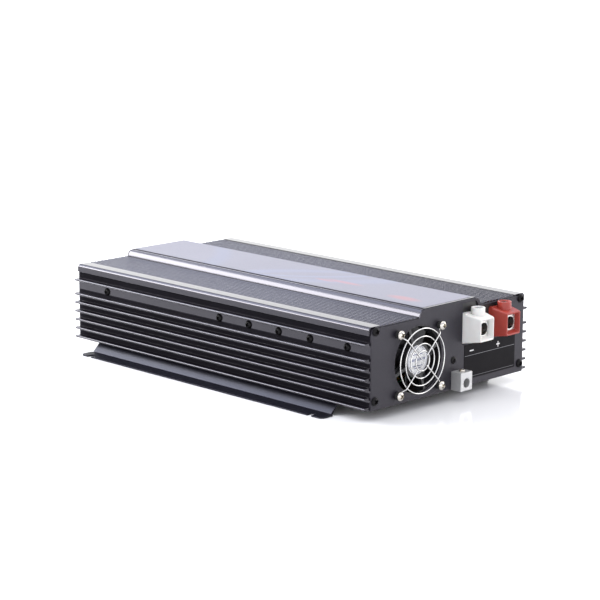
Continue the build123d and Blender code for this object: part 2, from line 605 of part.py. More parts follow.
with BuildPart() as remote_jack:
    block(JACK_X - 7.0, JACK_X + 7.0, RY - 15.0, RY, JACK_Z - 6.0, JACK_Z + 6.0)
    with BuildSketch(xz(RY)):
        with Locations((JACK_X, JACK_Z)):
            RectangleRounded(17.0, 15.0, 1.0)
    extrude(amount=-1.2)
    block(JACK_X - 4.9, JACK_X + 4.9, RY - 11.0, RY + 2, JACK_Z - 3.6, JACK_Z + 3.2, Mode.SUBTRACT)
    block(JACK_X - 2.2, JACK_X + 2.2, RY - 11.0, RY + 2, JACK_Z - 4.9, JACK_Z - 3.5, Mode.SUBTRACT)
save(remote_jack, "remote_jack")

with BuildPart() as led_lenses:
    for x, z in LEDS:
        rod_y(x, z, 2.5, RY - 4.0, RY + 1.0)
        rod_y(x, z, 3.4, RY - 4.0, RY - 1.55)
    fillet(edges().filter_by(GeomType.CIRCLE).group_by(Axis.Y)[-1], 0.9)
save(led_lenses, "led_lenses")

# ------------------------------------------------------------- electronics
BOARD_Z = 22.0
BOARD_TOP = BOARD_Z + 1.6
with BuildPart() as main_board:
    block(-105.8, 105.8, -184.0, 214.0, BOARD_Z, BOARD_TOP)
    with Locations((0, 6, BOARD_Z)):
        with GridLocations(184, 185, 2, 3):
            Cylinder(1.7, 6, mode=Mode.SUBTRACT)
save(main_board, "main_board")

with BuildPart() as board_standoffs:
    with BuildSketch(Plane.XY.offset(FLOOR_GAP + 1.5)):
        with Locations((0, 6)):
            with GridLocations(184, 185, 2, 3):
                RegularPolygon(3.5, 6)
                Circle(1.5, mode=Mode.SUBTRACT)
    extrude(amount=BOARD_Z - FLOOR_GAP - 1.5)
save(board_standoffs, "board_standoffs")

with BuildPart() as board_screws:
    for x in (-92, 92):
        for y in (-179, 6, 191):
            rod_z(x, y, 2.8, BOARD_TOP, BOARD_TOP + 2.0)
            rod_z(x, y, 1.45, BOARD_TOP - 6.0, BOARD_TOP + 0.1)
save(board_screws, "board_screws")

TRAFO = [(-56.0, -108.0), (0.0, -108.0), (56.0, -108.0)]
with BuildPart() as transformer_cores:
    for x, y in TRAFO:
        block(x - 25, x + 25, y - 11, y + 11, BOARD_TOP, BOARD_TOP + 46)
        for s in (-1, 1):
            a, b = sorted((x + s * 7.2, x + s * 17.4))
            block(a, b, y - 12, y + 12, BOARD_TOP + 8, BOARD_TOP + 38, Mode.SUBTRACT)
save(transformer_cores, "transformer_cores")

with BuildPart() as transformer_windings:
    for x, y in TRAFO:
        with BuildSketch(Plane.XY.offset(BOARD_TOP + 8.5)):
            with Locations((x, y)):
                RectangleRounded(34.0, 42.0, 6.0)
                Rectangle(14.8, 22.4, mode=Mode.SUBTRACT)
        extrude(amount=29.0)
save(transformer_windings, "transformer_windings")

with BuildPart() as input_capacitors:
    with Locations(*[(-77 + 22 * i, -150, BOARD_TOP) for i in range(8)]):
        Cylinder(9.0, 36.0, align=BASE_UP)
    fillet(edges().filter_by(GeomType.CIRCLE).group_by(Axis.Z)[-1], 1.2)
save(input_capacitors, "input_capacitors")

with BuildPart() as bus_capacitors:
    with Locations(*[(x, 30, BOARD_TOP) for x in (-76, -41, -6)]):
        Cylinder(15.0, 46.0, align=BASE_UP)
    fillet(edges().filter_by(GeomType.CIRCLE).group_by(Axis.Z)[-1], 1.5)
save(bus_capacitors, "bus_capacitors")

with BuildPart() as output_inductor:
    with BuildSketch(Plane.XZ):
        with Locations((22.0, 0)):
            RectangleRounded(16.0, 24.0, 4.0)
    revolve(axis=Axis.Z)
coil = output_inductor.part.moved(Location((20, 130, BOARD_TOP + 12.0)))
with BuildPart() as output_inductor:
    add(coil)
save(output_inductor, "output_inductor")

with BuildPart() as fuses:
    for x in (-80, -58, -36, -14):
        block(x - 9.5, x + 9.5, -172.5, -167.0, BOARD_TOP + 4.0, BOARD_TOP + 18.0)
        for s in (-1, 1):
            block(x + s * 6.6 - 2.2, x + s * 6.6 + 2.2, -170.2, -169.3, BOARD_TOP, BOARD_TOP + 4.5)
save(fuses, "fuses")

with BuildPart() as dc_busbars:
    for cx in (NEG_X, POS_X):
        block(cx - 6, cx + 6, BLOCK_Y1, -176.0, TERM_Z - 1.5, TERM_Z + 1.5)
        block(cx - 6, cx + 6, -179.0, -176.0, BOARD_TOP, TERM_Z)
save(dc_busbars, "dc_busbars")

with BuildPart() as power_transistors:
    for s in (-1, 1):
        for y in SIDE_SCREW_Y:
            for d in (-10.2, 10.2):
                a, b = sorted((s * 108.9, s * 113.0))
                block(a, b, y + d - 7.7, y + d + 7.7, 60.0, 80.5)
                for k in (-5.0, 0, 5.0):
                    a, b = sorted((s * 102.6, s * 110.4))
                    block(a, b, y + d + k - 0.6, y + d + k + 0.6, 60.6, 61.3)
                    a, b = sorted((s * 102.6, s * 103.4))
                    block(a, b, y + d + k - 0.6, y + d + k + 0.6, BOARD_TOP, 61.3)
save(power_transistors, "power_transistors")

with BuildPart() as clamp_bars:
    for s in (-1, 1):
        for y in SIDE_SCREW_Y:
            a, b = sorted((s * 104.4, s * 108.9))
            block(a, b, y - 17, y + 17, 64.0, 76.0)
            rod_x(y, SIDE_SCREW_Z, 2.0, a - 1, b + 1, Mode.SUBTRACT)
save(clamp_bars, "clamp_bars")

with BuildPart() as thermal_pads:
    for s in (-1, 1):
        for y in SIDE_SCREW_Y:
            for d in (-10.2, 10.2):
                a, b = sorted((s * 113.0, s * 113.4))
                block(a, b, y + d - 7.9, y + d + 7.9, 59.8, 80.7)
save(thermal_pads, "thermal_pads")

with BuildPart() as control_board:
    block(22.0, 96.0, 62.0, 63.6, BOARD_TOP + 3.0, 82.0)
    block(30.0, 88.0, 60.6, 65.0, BOARD_TOP, BOARD_TOP + 6.0)
    block(38.0, 56.0, 60.2, 62.1, 48.0, 60.0)
    block(66.0, 84.0, 60.2, 62.1, 50.0, 57.0)
save(control_board, "control_board")


def corner_radii(points):
    """Each corner's arc: 0.45 of its shorter run over the tangent of half the turn."""
    out = []
    for a, b, c in zip(points, points[1:], points[2:]):
        u, v = Vector(*b) - Vector(*a), Vector(*c) - Vector(*b)
        turn = math.radians(u.get_angle(v))
        out.append(0.45 * min(u.length, v.length) / math.tan(turn / 2))
    return out


def lead(points, r):
    """One insulated wire along straight runs and tangent arcs."""
    radii = corner_radii(points)
    with BuildPart() as wire:
        with BuildLine() as route:
            FilletPolyline(*points, radius=radii)
        start = Vector(*points[1]) - Vector(*points[0])
        with BuildSketch(Plane(origin=points[0], z_dir=start)):
            Circle(r)
        sweep(path=route.wires()[0])
    path = route.wires()[0].length
    print(f"wire r {r}: length {path:.1f}, volume ratio {wire.part.volume / (math.pi * r * r * path):.4f}, radii", [round(v, 1) for v in radii])
    return wire


fan_lead = lead(
    [(FAN_X + FAN_SIZE / 2, -201.0, 58.0), (-5.0, -201.0, 58.0), (2.0, -194.0, 52.0), (3.5, -184.0, 43.0),
     (2.5, -177.5, 34.0), (2.5, -177.5, BOARD_TOP)],
    1.3,
)
save(fan_lead, "fan_lead")

with BuildPart() as ac_wires:
    y_back = RY - 31.0
    for dx, r in ((-14.0, 1.5), (0.0, 1.5), (14.0, 1.5)):
        w = lead(
            [(OUTLET_X + dx, y_back, 58.0), (OUTLET_X + dx, y_back - 9.0, 58.0), (OUTLET_X + dx + 2.0, y_back - 15.0, 49.0),
             (OUTLET_X + dx + 3.0, y_back - 14.0, 37.0), (OUTLET_X + dx + 3.0, y_back - 14.0, BOARD_TOP)],
            r,
        )
        add(w.part)
    for dx, dz in ((-4.0, 6.0), (-4.0, -6.0)):
        w = lead(
            [(ROCKER_X + dx, RY - 28.0, ROCKER_Z + dz), (ROCKER_X + dx, RY - 37.0, ROCKER_Z + dz),
             (ROCKER_X + dx * 2 - dz * 0.5, RY - 43.0, ROCKER_Z + dz - 10.0), (ROCKER_X + dx * 2 - dz * 0.6, RY - 42.0, ROCKER_Z + dz - 22.0),
             (ROCKER_X + dx * 2 - dz * 0.6, RY - 42.0, BOARD_TOP)],
            1.1,
        )
        add(w.part)
save(ac_wires, "ac_wires")
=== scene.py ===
import json
import math

import bmesh
import bpy
from mathutils import Matrix, Vector

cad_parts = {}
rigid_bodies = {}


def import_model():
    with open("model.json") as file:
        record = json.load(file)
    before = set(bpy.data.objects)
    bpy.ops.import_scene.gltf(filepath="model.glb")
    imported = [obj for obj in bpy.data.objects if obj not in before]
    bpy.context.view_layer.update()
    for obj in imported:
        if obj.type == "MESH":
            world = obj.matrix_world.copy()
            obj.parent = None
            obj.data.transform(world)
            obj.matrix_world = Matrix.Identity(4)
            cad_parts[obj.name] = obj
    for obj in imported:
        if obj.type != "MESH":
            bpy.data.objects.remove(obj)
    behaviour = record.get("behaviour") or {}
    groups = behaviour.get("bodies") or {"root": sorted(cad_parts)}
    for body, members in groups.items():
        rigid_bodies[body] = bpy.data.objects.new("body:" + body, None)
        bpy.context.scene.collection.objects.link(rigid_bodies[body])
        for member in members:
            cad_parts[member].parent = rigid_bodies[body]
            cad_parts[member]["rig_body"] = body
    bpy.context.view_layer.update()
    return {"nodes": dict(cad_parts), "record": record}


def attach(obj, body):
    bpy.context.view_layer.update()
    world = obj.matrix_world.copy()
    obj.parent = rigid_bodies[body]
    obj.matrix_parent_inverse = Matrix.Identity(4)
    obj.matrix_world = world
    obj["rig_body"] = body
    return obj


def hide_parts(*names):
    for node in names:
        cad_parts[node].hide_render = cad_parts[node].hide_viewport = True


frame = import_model()
SLOT_OF = {s["node"]: s["material_slot"] for s in frame["record"]["subparts"]}
MM = 0.001

# ------------------------------------------------------------------ dimensions
# Millimetres, in the shared frame; they repeat the CAD's own.
FLOOR_GAP = 11.4
WALL_X = 116.4
FIN_TIP = 124.0
FIN_T = 2.6
FIN_Z = [66.4, 50.7, 41.1, 31.4, 21.8, 12.1, 2.5]
Y0, Y1 = -213.2, 225.8
YF, YR = -214.7, 227.3
LIP_X = 119.0
LIP_Z = FLOOR_GAP + 75.0
TOP_Z = FLOOR_GAP + 83.3
PLATEAU_Z = FLOOR_GAP + 90.2
RIB_DEPTH, RIB_PITCH, RIBS, RIB_X0 = 1.3, 4.93, 11, 47.1
SKIN = 2.3
PANEL_TOP = 92.6
UP_SCREW = (110.5, 89.9)
LOW_SCREW = (111.0, 20.4)
SIDE_SCREW_Y = [178.5, -0.9, -44.6, -87.9, -132.0, -182.9]
SIDE_SCREW_Z = FLOOR_GAP + 58.7
FAN_X, FAN_Z = -47.7, 51.2
FAN_PITCH = 61.5
NEG_X, POS_X, TERM_Z = 33.7, 75.5, 72.0
Y_CLAMP, Y_TUBE, Y_TIP = YF - 7.4, YF - 15.0, YF - 20.0
OUTLET_X, OUTLET_Z = 52.0, 62.0
ROCKER_X, ROCKER_Z = -25.0, 62.0


# ------------------------------------------------------------------- materials
def link(nt, a, b):
    nt.links.new(a, b)


def node(nt, kind, **values):
    n = nt.nodes.new(kind)
    for k, v in values.items():
        setattr(n, k, v)
    return n


def noise(nt, vector, scale, detail=3.0, rough=0.5, stretch=None):
    if stretch:
        m = node(nt, "ShaderNodeMapping")
        m.inputs["Scale"].default_value = stretch
        link(nt, vector, m.inputs["Vector"])
        vector = m.outputs["Vector"]
    t = node(nt, "ShaderNodeTexNoise")
    t.inputs["Scale"].default_value = scale
    t.inputs["Detail"].default_value = detail
    t.inputs["Roughness"].default_value = rough
    link(nt, vector, t.inputs["Vector"])
    return t.outputs["Fac"]


def remap(nt, value, a, b, lo=0.3, hi=0.7):
    r = node(nt, "ShaderNodeMapRange")
    r.inputs["From Min"].default_value = lo
    r.inputs["From Max"].default_value = hi
    r.inputs["To Min"].default_value = a
    r.inputs["To Max"].default_value = b
    link(nt, value, r.inputs["Value"])
    return r.outputs["Result"]


def blend(nt, fac, a, b):
    """Mix of two colours; each is a colour tuple or a socket."""
    m = node(nt, "ShaderNodeMix", data_type="RGBA")
    link(nt, fac, m.inputs["Factor"])
    for value, name in ((a, "A"), (b, "B")):
        socket = [s for s in m.inputs if s.name == name and s.type == "RGBA"][0]
        if isinstance(value, tuple):
            socket.default_value = (*value[:3], 1.0)
        else:
            link(nt, value, socket)
    return [s for s in m.outputs if s.type == "RGBA"][0]


def calc(nt, op, a, b=0.0, c=None):
    m = node(nt, "ShaderNodeMath", operation=op)
    for i, value in enumerate((a, b) if c is None else (a, b, c)):
        if isinstance(value, (int, float)):
            m.inputs[i].default_value = value
        else:
            link(nt, value, m.inputs[i])
    return m.outputs[0]


def within(nt, value, lo, hi, soft=0.00008):
    """1 between lo and hi, 0 outside, with a soft edge."""
    a = remap(nt, value, 0.0, 1.0, lo - soft, lo + soft)
    b = remap(nt, value, 1.0, 0.0, hi - soft, hi + soft)
    return calc(nt, "MULTIPLY", a, b)


def tone(c, k):
    return tuple(min(1.0, max(0.0, x * k)) for x in c)


MATS = {}


def surface(slot, base, rough, metal=0.0, vary=0.12, patch=25.0, rough_vary=0.05, grain=700.0,
            stretch=None, bump=0.0, bump_scale=1500.0, second=None, **sockets):
    """One finish: two close tones by broad noise, roughness by fine noise, and a fine relief in millimetres."""
    m = bpy.data.materials.new("finish_" + slot)
    m.use_nodes = True
    nt = m.node_tree
    shader = nt.nodes["Principled BSDF"]
    coords = node(nt, "ShaderNodeTexCoord").outputs["Object"]
    broad = noise(nt, coords, patch, 4.0)
    colour = blend(nt, remap(nt, broad, 0.0, 1.0), tone(base, 1 - vary), second or tone(base, 1 + vary))
    link(nt, colour, shader.inputs["Base Color"])
    fine = noise(nt, coords, grain, 2.0, 0.6, stretch)
    link(nt, remap(nt, fine, max(0.03, rough - rough_vary), rough + rough_vary), shader.inputs["Roughness"])
    shader.inputs["Metallic"].default_value = metal
    if bump:
        relief = noise(nt, coords, bump_scale, 2.0, 0.5, stretch)
        b = node(nt, "ShaderNodeBump")
        b.inputs["Strength"].default_value = 1.0
        b.inputs["Distance"].default_value = bump * MM
        link(nt, relief, b.inputs["Height"])
        link(nt, b.outputs["Normal"], shader.inputs["Normal"])
    for name, value in sockets.items():
        shader.inputs[name.replace("_", " ")].default_value = value
    MATS[slot] = m
    return m, nt, shader, coords, colour


ALONG = (1.0, 0.015, 1.0)


def anodised():
    """Black anodised extrusion, with painted shade on the channel walls between the fins, in the band under the lip, in
    the two grooves beside the label and round the side screws' seats: less specular and rougher there than on the fins'
    own faces.
    """
    m, nt, shader, coords, colour = surface("black_anodised", (0.0065, 0.0058, 0.0082), 0.17, vary=0.15, rough_vary=0.012,
                                            grain=2600, stretch=ALONG, IOR=1.5, Specular_Tint=(0.92, 0.89, 1.0, 1.0))
    xyz = node(nt, "ShaderNodeSeparateXYZ")
    link(nt, coords, xyz.inputs[0])
    lo, hi = -2.0, 90.0
    # painted shade: the ramp is 0 on the channel walls between the fins and in the band under the lip, 1 on the fins'
    # own faces
    stops = []
    for f in sorted(FIN_Z):
        foot = 56.0 if f > 60 else f - 3.2
        top = f + FIN_T / 2
        stops += [(foot - 1.4, 0.0), (foot + 0.3, 1.0), (top + 0.1, 1.0), (top + 0.25, 0.0)]
    stops += [(74.5, 0.0), (74.7, 1.0)]
    ramp = node(nt, "ShaderNodeValToRGB")
    while len(ramp.color_ramp.elements) < len(stops):
        ramp.color_ramp.elements.new(0.5)
    for e, (at, v) in zip(ramp.color_ramp.elements, stops):
        e.position = (max(at, lo) - lo) / (hi - lo)
    for e, (at, v) in zip(ramp.color_ramp.elements, stops):
        e.color = (v, v, v, 1.0)
    link(nt, remap(nt, xyz.outputs["Z"], 0.0, 1.0, (FLOOR_GAP + lo) * MM, (FLOOR_GAP + hi) * MM), ramp.inputs["Fac"])
    outside_painted_shade = ramp.outputs["Color"]
    side = calc(nt, "ABSOLUTE", xyz.outputs["X"])
    for lo, hi in ((38.3, 39.4), (40.7, 41.2)):            # painted shade in the two grooves beside the label
        outside_painted_shade = calc(nt, "MULTIPLY", outside_painted_shade, calc(nt, "SUBTRACT", 1.0, within(nt, side, lo * MM, hi * MM)))
    dz = calc(nt, "SUBTRACT", xyz.outputs["Z"], SIDE_SCREW_Z * MM)
    for y in SIDE_SCREW_Y:                                 # painted shadow in a disc round the seat of each side screw
        dy = calc(nt, "SUBTRACT", xyz.outputs["Y"], y * MM)
        r2 = calc(nt, "ADD", calc(nt, "MULTIPLY", dy, dy), calc(nt, "MULTIPLY", dz, dz))
        outside_painted_shade = calc(nt, "MULTIPLY", outside_painted_shade, calc(nt, "GREATER_THAN", r2, (4.5 * MM) ** 2))
    # painted shade: specular level drops where the mask is 0
    shader.inputs["Specular IOR Level"].default_value = 0.3
    link(nt, remap(nt, outside_painted_shade, 0.04, 0.5), shader.inputs["Specular IOR Level"])
    polish = shader.inputs["Roughness"].links[0].from_socket
    # painted shade: roughness rises where the mask is 0
    painted_shade_roughness = calc(nt, "MULTIPLY", calc(nt, "SUBTRACT", 1.0, outside_painted_shade), 0.4)
    link(nt, calc(nt, "ADD", polish, painted_shade_roughness), shader.inputs["Roughness"])


anodised()

surface("black_panel", (0.008, 0.007, 0.0105), 0.45, vary=0.12, rough_vary=0.03, bump=0.004, bump_scale=1300, IOR=1.42,
        Specular_Tint=(0.93, 0.9, 1.0, 1.0))
surface("rail_steel", (0.005, 0.0048, 0.008), 0.38, vary=0.25, patch=400, rough_vary=0.05, grain=1200, bump=0.004, bump_scale=1200,
        IOR=1.4, Specular_Tint=(0.78, 0.80, 1.0, 1.0))
surface("base_steel", (0.016, 0.016, 0.018), 0.4, vary=0.15, bump=0.012, bump_scale=1200)
surface("black_screw", (0.004, 0.0035, 0.004), 0.42, vary=0.25, patch=300, rough_vary=0.08, grain=2500, bump=0.004,
        bump_scale=2500, Specular_IOR_Level=0.14)
surface("bright_screw", (0.55, 0.52, 0.47), 0.14, 1.0, vary=0.07, patch=400, rough_vary=0.06, grain=2500)
surface("guard_chrome", (0.56, 0.555, 0.545), 0.12, 1.0, vary=0.05, patch=250, rough_vary=0.05, grain=1800)
surface("black_plastic", (0.012, 0.012, 0.013), 0.42, vary=0.2, patch=60, rough_vary=0.07, bump=0.015, bump_scale=1800)
surface("spacer_rubber", (0.01, 0.01, 0.01), 0.7, vary=0.2, patch=200, bump=0.01, bump_scale=3000)
surface("housing_white", (0.60, 0.59, 0.57), 0.38, vary=0.025, patch=120, rough_vary=0.05, bump=0.01, bump_scale=1400,
        Subsurface_Weight=0.12, Subsurface_Scale=0.002, second=(0.62, 0.61, 0.59))
surface("housing_red", (0.27, 0.030, 0.020), 0.36, vary=0.08, patch=120, rough_vary=0.05, bump=0.01, bump_scale=1400,
        Subsurface_Weight=0.08, Subsurface_Scale=0.0015)
surface("tinned_block", (0.52, 0.51, 0.49), 0.3, 1.0, vary=0.08, patch=300, rough_vary=0.1, grain=1600, bump=0.01)
surface("lug_aluminium", (0.47, 0.47, 0.47), 0.42, 0.6, vary=0.05, patch=300, rough_vary=0.08, grain=2200,
        bump=0.006, bump_scale=2600)
surface("clamp_steel", (0.45, 0.44, 0.43), 0.3, 1.0, vary=0.1, patch=400, rough_vary=0.1, grain=2000)
surface("button_black", (0.016, 0.016, 0.017), 0.4, patch=120, bump=0.01, bump_scale=2500)
surface("button_red", (0.42, 0.03, 0.025), 0.38, patch=120, bump=0.01, bump_scale=2500)
surface("outlet_plastic", (0.66, 0.66, 0.62), 0.36, vary=0.03, patch=60, rough_vary=0.05, bump=0.01, bump_scale=1500)
surface("plated_steel", (0.62, 0.62, 0.6), 0.3, 1.0, vary=0.08, patch=300, rough_vary=0.1)
surface("ferrite", (0.045, 0.045, 0.048), 0.6, vary=0.2, patch=500, bump=0.04, bump_scale=2200)
surface("copper", (0.75, 0.36, 0.22), 0.32, 1.0, vary=0.14, patch=120, rough_vary=0.12)
surface("fuse_plastic", (0.75, 0.24, 0.02), 0.25, vary=0.08, patch=80, Transmission_Weight=0.25)
surface("pad_rubber", (0.38, 0.38, 0.4), 0.7, vary=0.1, patch=200, bump=0.02)
surface("bar_steel", (0.5, 0.5, 0.5), 0.36, 1.0, vary=0.08, patch=150, stretch=(1, 0.05, 1), rough_vary=0.12)
surface("wire_black", (0.012, 0.012, 0.012), 0.45, vary=0.2, patch=200, bump=0.01, bump_scale=2500)
surface("led_green", (0.06, 0.5, 0.14), 0.12, vary=0.12, patch=500, Transmission_Weight=0.55, IOR=1.5)


def windings(slot, base, spacing, direction):
    """Enamelled wire: fine parallel turns as relief, with painted shade darkening the gaps between turns."""
    m, nt, shader, coords, colour = surface(slot, base, 0.28, 1.0, vary=0.15, patch=90)
    w = node(nt, "ShaderNodeTexWave", wave_type="BANDS", bands_direction=direction, wave_profile="SIN")
    w.inputs["Scale"].default_value = 1.0 / (spacing * MM * 2 * math.pi) * 2.0
    w.inputs["Distortion"].default_value = 1.2
    w.inputs["Detail Scale"].default_value = 0.4
    link(nt, coords, w.inputs["Vector"])
    gap = remap(nt, w.outputs["Fac"], 0.35, 1.0, 0.0, 0.35)
    # painted shade in the gaps between the turns
    shaded_gaps = blend(nt, gap, tone(base, 0.25), colour)
    link(nt, shaded_gaps, shader.inputs["Base Color"])
    b = node(nt, "ShaderNodeBump")
    b.inputs["Distance"].default_value = 0.25 * MM
    link(nt, w.outputs["Fac"], b.inputs["Height"])
    link(nt, b.outputs["Normal"], shader.inputs["Normal"])


windings("fan_winding", (0.62, 0.25, 0.12), 0.5, "Y")
windings("coil_copper", (0.66, 0.28, 0.13), 1.1, "Z")


def circuit_board():
    """Solder mask over copper tracks: tracks stand as slightly lighter lines."""
    m, nt, shader, coords, colour = surface("board_green", (0.006, 0.05, 0.022), 0.3, vary=0.15, patch=40)
    brick = node(nt, "ShaderNodeTexBrick")
    brick.inputs["Scale"].default_value = 70.0
    brick.inputs["Mortar Size"].default_value = 0.06
    brick.inputs["Color1"].default_value = (0, 0, 0, 1)
    brick.inputs["Color2"].default_value = (0, 0, 0, 1)
    brick.inputs["Mortar"].default_value = (1, 1, 1, 1)
    link(nt, coords, brick.inputs["Vector"])
    tracks = blend(nt, brick.outputs["Color"], colour, (0.03, 0.2, 0.08))
    link(nt, tracks, shader.inputs["Base Color"])


circuit_board()


def capacitor_sleeve():
    """Dark blue sleeve with a grey metal top."""
    m, nt, shader, coords, colour = surface("capacitor_can", (0.012, 0.016, 0.05), 0.25, vary=0.15, patch=60)
    xyz = node(nt, "ShaderNodeSeparateXYZ")
    link(nt, coords, xyz.inputs[0])
    top = remap(nt, xyz.outputs["Z"], 0.0, 1.0, 0.0592, 0.0594)
    metal_top = blend(nt, top, colour, (0.5, 0.5, 0.52))
    link(nt, metal_top, shader.inputs["Base Color"])


capacitor_sleeve()


def silver_label():
    """Silver film printed with soft tinted sweeps and fine lines along the case."""
    m, nt, shader, coords, colour = surface("label_silver", (0.198, 0.196, 0.228), 0.5, vary=0.03, patch=12,
                                            rough_vary=0.04, Specular_IOR_Level=0.22)
    xyz = node(nt, "ShaderNodeSeparateXYZ")
    link(nt, coords, xyz.inputs[0])
    x, y = xyz.outputs["X"], xyz.outputs["Y"]

    def sweep(y_mid, lean, curve, half, tint, weight, soft=0.004):
        """Soft band whose centre line runs y = y_mid + lean x + curve x squared."""
        line = calc(nt, "ADD", calc(nt, "MULTIPLY", x, lean), calc(nt, "MULTIPLY", calc(nt, "MULTIPLY", x, x), curve))
        d = calc(nt, "ABSOLUTE", calc(nt, "SUBTRACT", calc(nt, "SUBTRACT", y, y_mid), line))
        mask = remap(nt, d, weight, 0.0, half - soft, half + soft)
        return mask, tint

    layers = [
        sweep(-0.070, -1.1, 8.0, 0.014, (0.205, 0.220, 0.295), 0.5, 0.008),
        sweep(-0.035, -1.1, 8.0, 0.005, (0.205, 0.220, 0.295), 0.7, 0.003),
        sweep(0.010, -1.0, -9.0, 0.010, (0.205, 0.220, 0.295), 0.55, 0.006),
        sweep(0.120, 0.8, 7.0, 0.012, (0.195, 0.208, 0.27), 0.5, 0.006),
    ]
    for x_mid, y_mid, wide, tall in ((-0.018, -0.168, 0.0075, 0.022), (-0.004, -0.072, 0.0045, 0.026), (-0.010, -0.050, 0.003, 0.014)):
        a = calc(nt, "DIVIDE", calc(nt, "SUBTRACT", x, x_mid), wide)
        b = calc(nt, "DIVIDE", calc(nt, "SUBTRACT", y, y_mid), tall)
        r = calc(nt, "SQRT", calc(nt, "ADD", calc(nt, "MULTIPLY", a, a), calc(nt, "MULTIPLY", b, b)))
        layers.append((remap(nt, r, 0.5, 0.0, 0.55, 1.15), (0.37, 0.17, 0.175)))
    for mask, tint in layers:
        colour = blend(nt, mask, colour, tint)
    for lo, hi in ((-0.0362, -0.0356), (0.0356, 0.0362)):
        colour = blend(nt, calc(nt, "MULTIPLY", within(nt, x, lo, hi), 0.5), colour, (0.08, 0.085, 0.13))
    link(nt, colour, shader.inputs["Base Color"])


silver_label()


def black_label():
    """Black film with two rules and the polarity signs."""
    m, nt, shader, coords, colour = surface("label_black", (0.0045, 0.0038, 0.0052), 0.4, vary=0.12, patch=60,
                                            rough_vary=0.05, Specular_IOR_Level=0.06)
    xyz = node(nt, "ShaderNodeSeparateXYZ")
    link(nt, coords, xyz.inputs[0])
    x, z = xyz.outputs["X"], xyz.outputs["Z"]

    def rect(x0, x1, z0, z1):
        return calc(nt, "MULTIPLY", within(nt, x, x0 * MM, x1 * MM), within(nt, z, z0 * MM, z1 * MM))

    grey, white = (0.20, 0.20, 0.21), (0.72, 0.72, 0.72)
    marks = [
        (rect(23.0, 102.0, 42.2, 42.65), grey), (rect(23.0, 102.0, 20.2, 20.5), grey),
        # polarity signs under the two terminals
        (rect(30.6, 36.6, 46.7, 47.8), white), (rect(72.6, 78.4, 46.7, 47.8), white), (rect(74.95, 76.05, 44.35, 50.15), white),
    ]
    for mask, tint in marks:
        colour = blend(nt, mask, colour, tint)
    link(nt, colour, shader.inputs["Base Color"])


black_label()


def hub_foil():
    """Printed foil disc: bright foil with a dark blue ring, a dashed bar and three short bars, no lettering."""
    m, nt, shader, coords, colour = surface("hub_foil", (0.44, 0.445, 0.45), 0.3, 0.8, vary=0.06, patch=300, rough_vary=0.08)
    xyz = node(nt, "ShaderNodeSeparateXYZ")
    link(nt, coords, xyz.inputs[0])
    x = calc(nt, "SUBTRACT", xyz.outputs["X"], FAN_X * MM)
    z = calc(nt, "SUBTRACT", xyz.outputs["Z"], FAN_Z * MM)
    r = calc(nt, "SQRT", calc(nt, "ADD", calc(nt, "MULTIPLY", x, x), calc(nt, "MULTIPLY", z, z)))
    blue = (0.03, 0.04, 0.13)
    dash = calc(nt, "GREATER_THAN", calc(nt, "SINE", calc(nt, "MULTIPLY", x, 3200.0)), -0.2)
    for mask in (
        within(nt, r, 0.0134, 0.0138),
        calc(nt, "MULTIPLY", within(nt, z, -0.0012, 0.0014), calc(nt, "MULTIPLY", within(nt, x, -0.0112, 0.0112), dash)),
        calc(nt, "MULTIPLY", within(nt, z, 0.0052, 0.0059), within(nt, x, -0.007, 0.007)),
        calc(nt, "MULTIPLY", within(nt, z, -0.0066, -0.0059), within(nt, x, -0.0075, 0.0075)),
        calc(nt, "MULTIPLY", within(nt, z, -0.0088, -0.0082), within(nt, x, -0.005, 0.005)),
    ):
        colour = blend(nt, mask, colour, blue)
    link(nt, colour, shader.inputs["Base Color"])


hub_foil()


def rocker_finish():
    """Gloss black with the usual on bar and off ring."""
    m, nt, shader, coords, colour = surface("rocker_plastic", (0.012, 0.012, 0.013), 0.24, vary=0.15, patch=80,
                                            rough_vary=0.04, bump=0.006, bump_scale=1500)
    xyz = node(nt, "ShaderNodeSeparateXYZ")
    link(nt, coords, xyz.inputs[0])
    x = calc(nt, "SUBTRACT", xyz.outputs["X"], ROCKER_X * MM)
    z = calc(nt, "SUBTRACT", xyz.outputs["Z"], ROCKER_Z * MM)
    bar = calc(nt, "MULTIPLY", within(nt, x, -0.00045, 0.00045), within(nt, z, 0.0048, 0.0092))
    zr = calc(nt, "ADD", z, 0.0070)
    r = calc(nt, "SQRT", calc(nt, "ADD", calc(nt, "MULTIPLY", x, x), calc(nt, "MULTIPLY", zr, zr)))
    for mask in (bar, within(nt, r, 0.0017, 0.0025)):
        colour = blend(nt, mask, colour, (0.75, 0.75, 0.74))
    link(nt, colour, shader.inputs["Base Color"])


rocker_finish()

for name, obj in frame["nodes"].items():
    obj.data.materials.clear()
    obj.data.materials.append(MATS[SLOT_OF[name]])


# ---------------------------------------------------------------- mesh helpers
def to_y(u, v, w):
    """Outline in X and Z, pushed along Y."""
    return (u * MM, w * MM, v * MM)


def to_z(u, v, w):
    """Outline in X and Y, pushed along Z."""
    return (u * MM, v * MM, w * MM)


def axis_map(origin, axis):
    """Local (u, v, w) in millimetres to the shared frame, w along axis from origin."""
    w_dir = Vector(axis).normalized()
    u_dir = w_dir.orthogonal().normalized()
    for d in (Vector((1, 0, 0)), Vector((0, 1, 0))):
        if abs(w_dir.dot(d)) < 0.1:
            u_dir = d
            break
    v_dir = w_dir.cross(u_dir)
    o = Vector(origin)

    def to(u, v, w):
        return (o + u_dir * u + v_dir * v + w_dir * w) * MM

    return to


def area(loop):
    return 0.5 * sum(a[0] * b[1] - b[0] * a[1] for a, b in zip(loop, loop[1:] + loop[:1]))


def ccw(loop):
    return loop if area(loop) > 0 else loop[::-1]


def tidy(loop):
    out = []
    for p in loop:
        if not out or math.dist(p, out[-1]) > 1e-4:
            out.append(p)
    if math.dist(out[0], out[-1]) < 1e-4:
        out.pop()
    return out


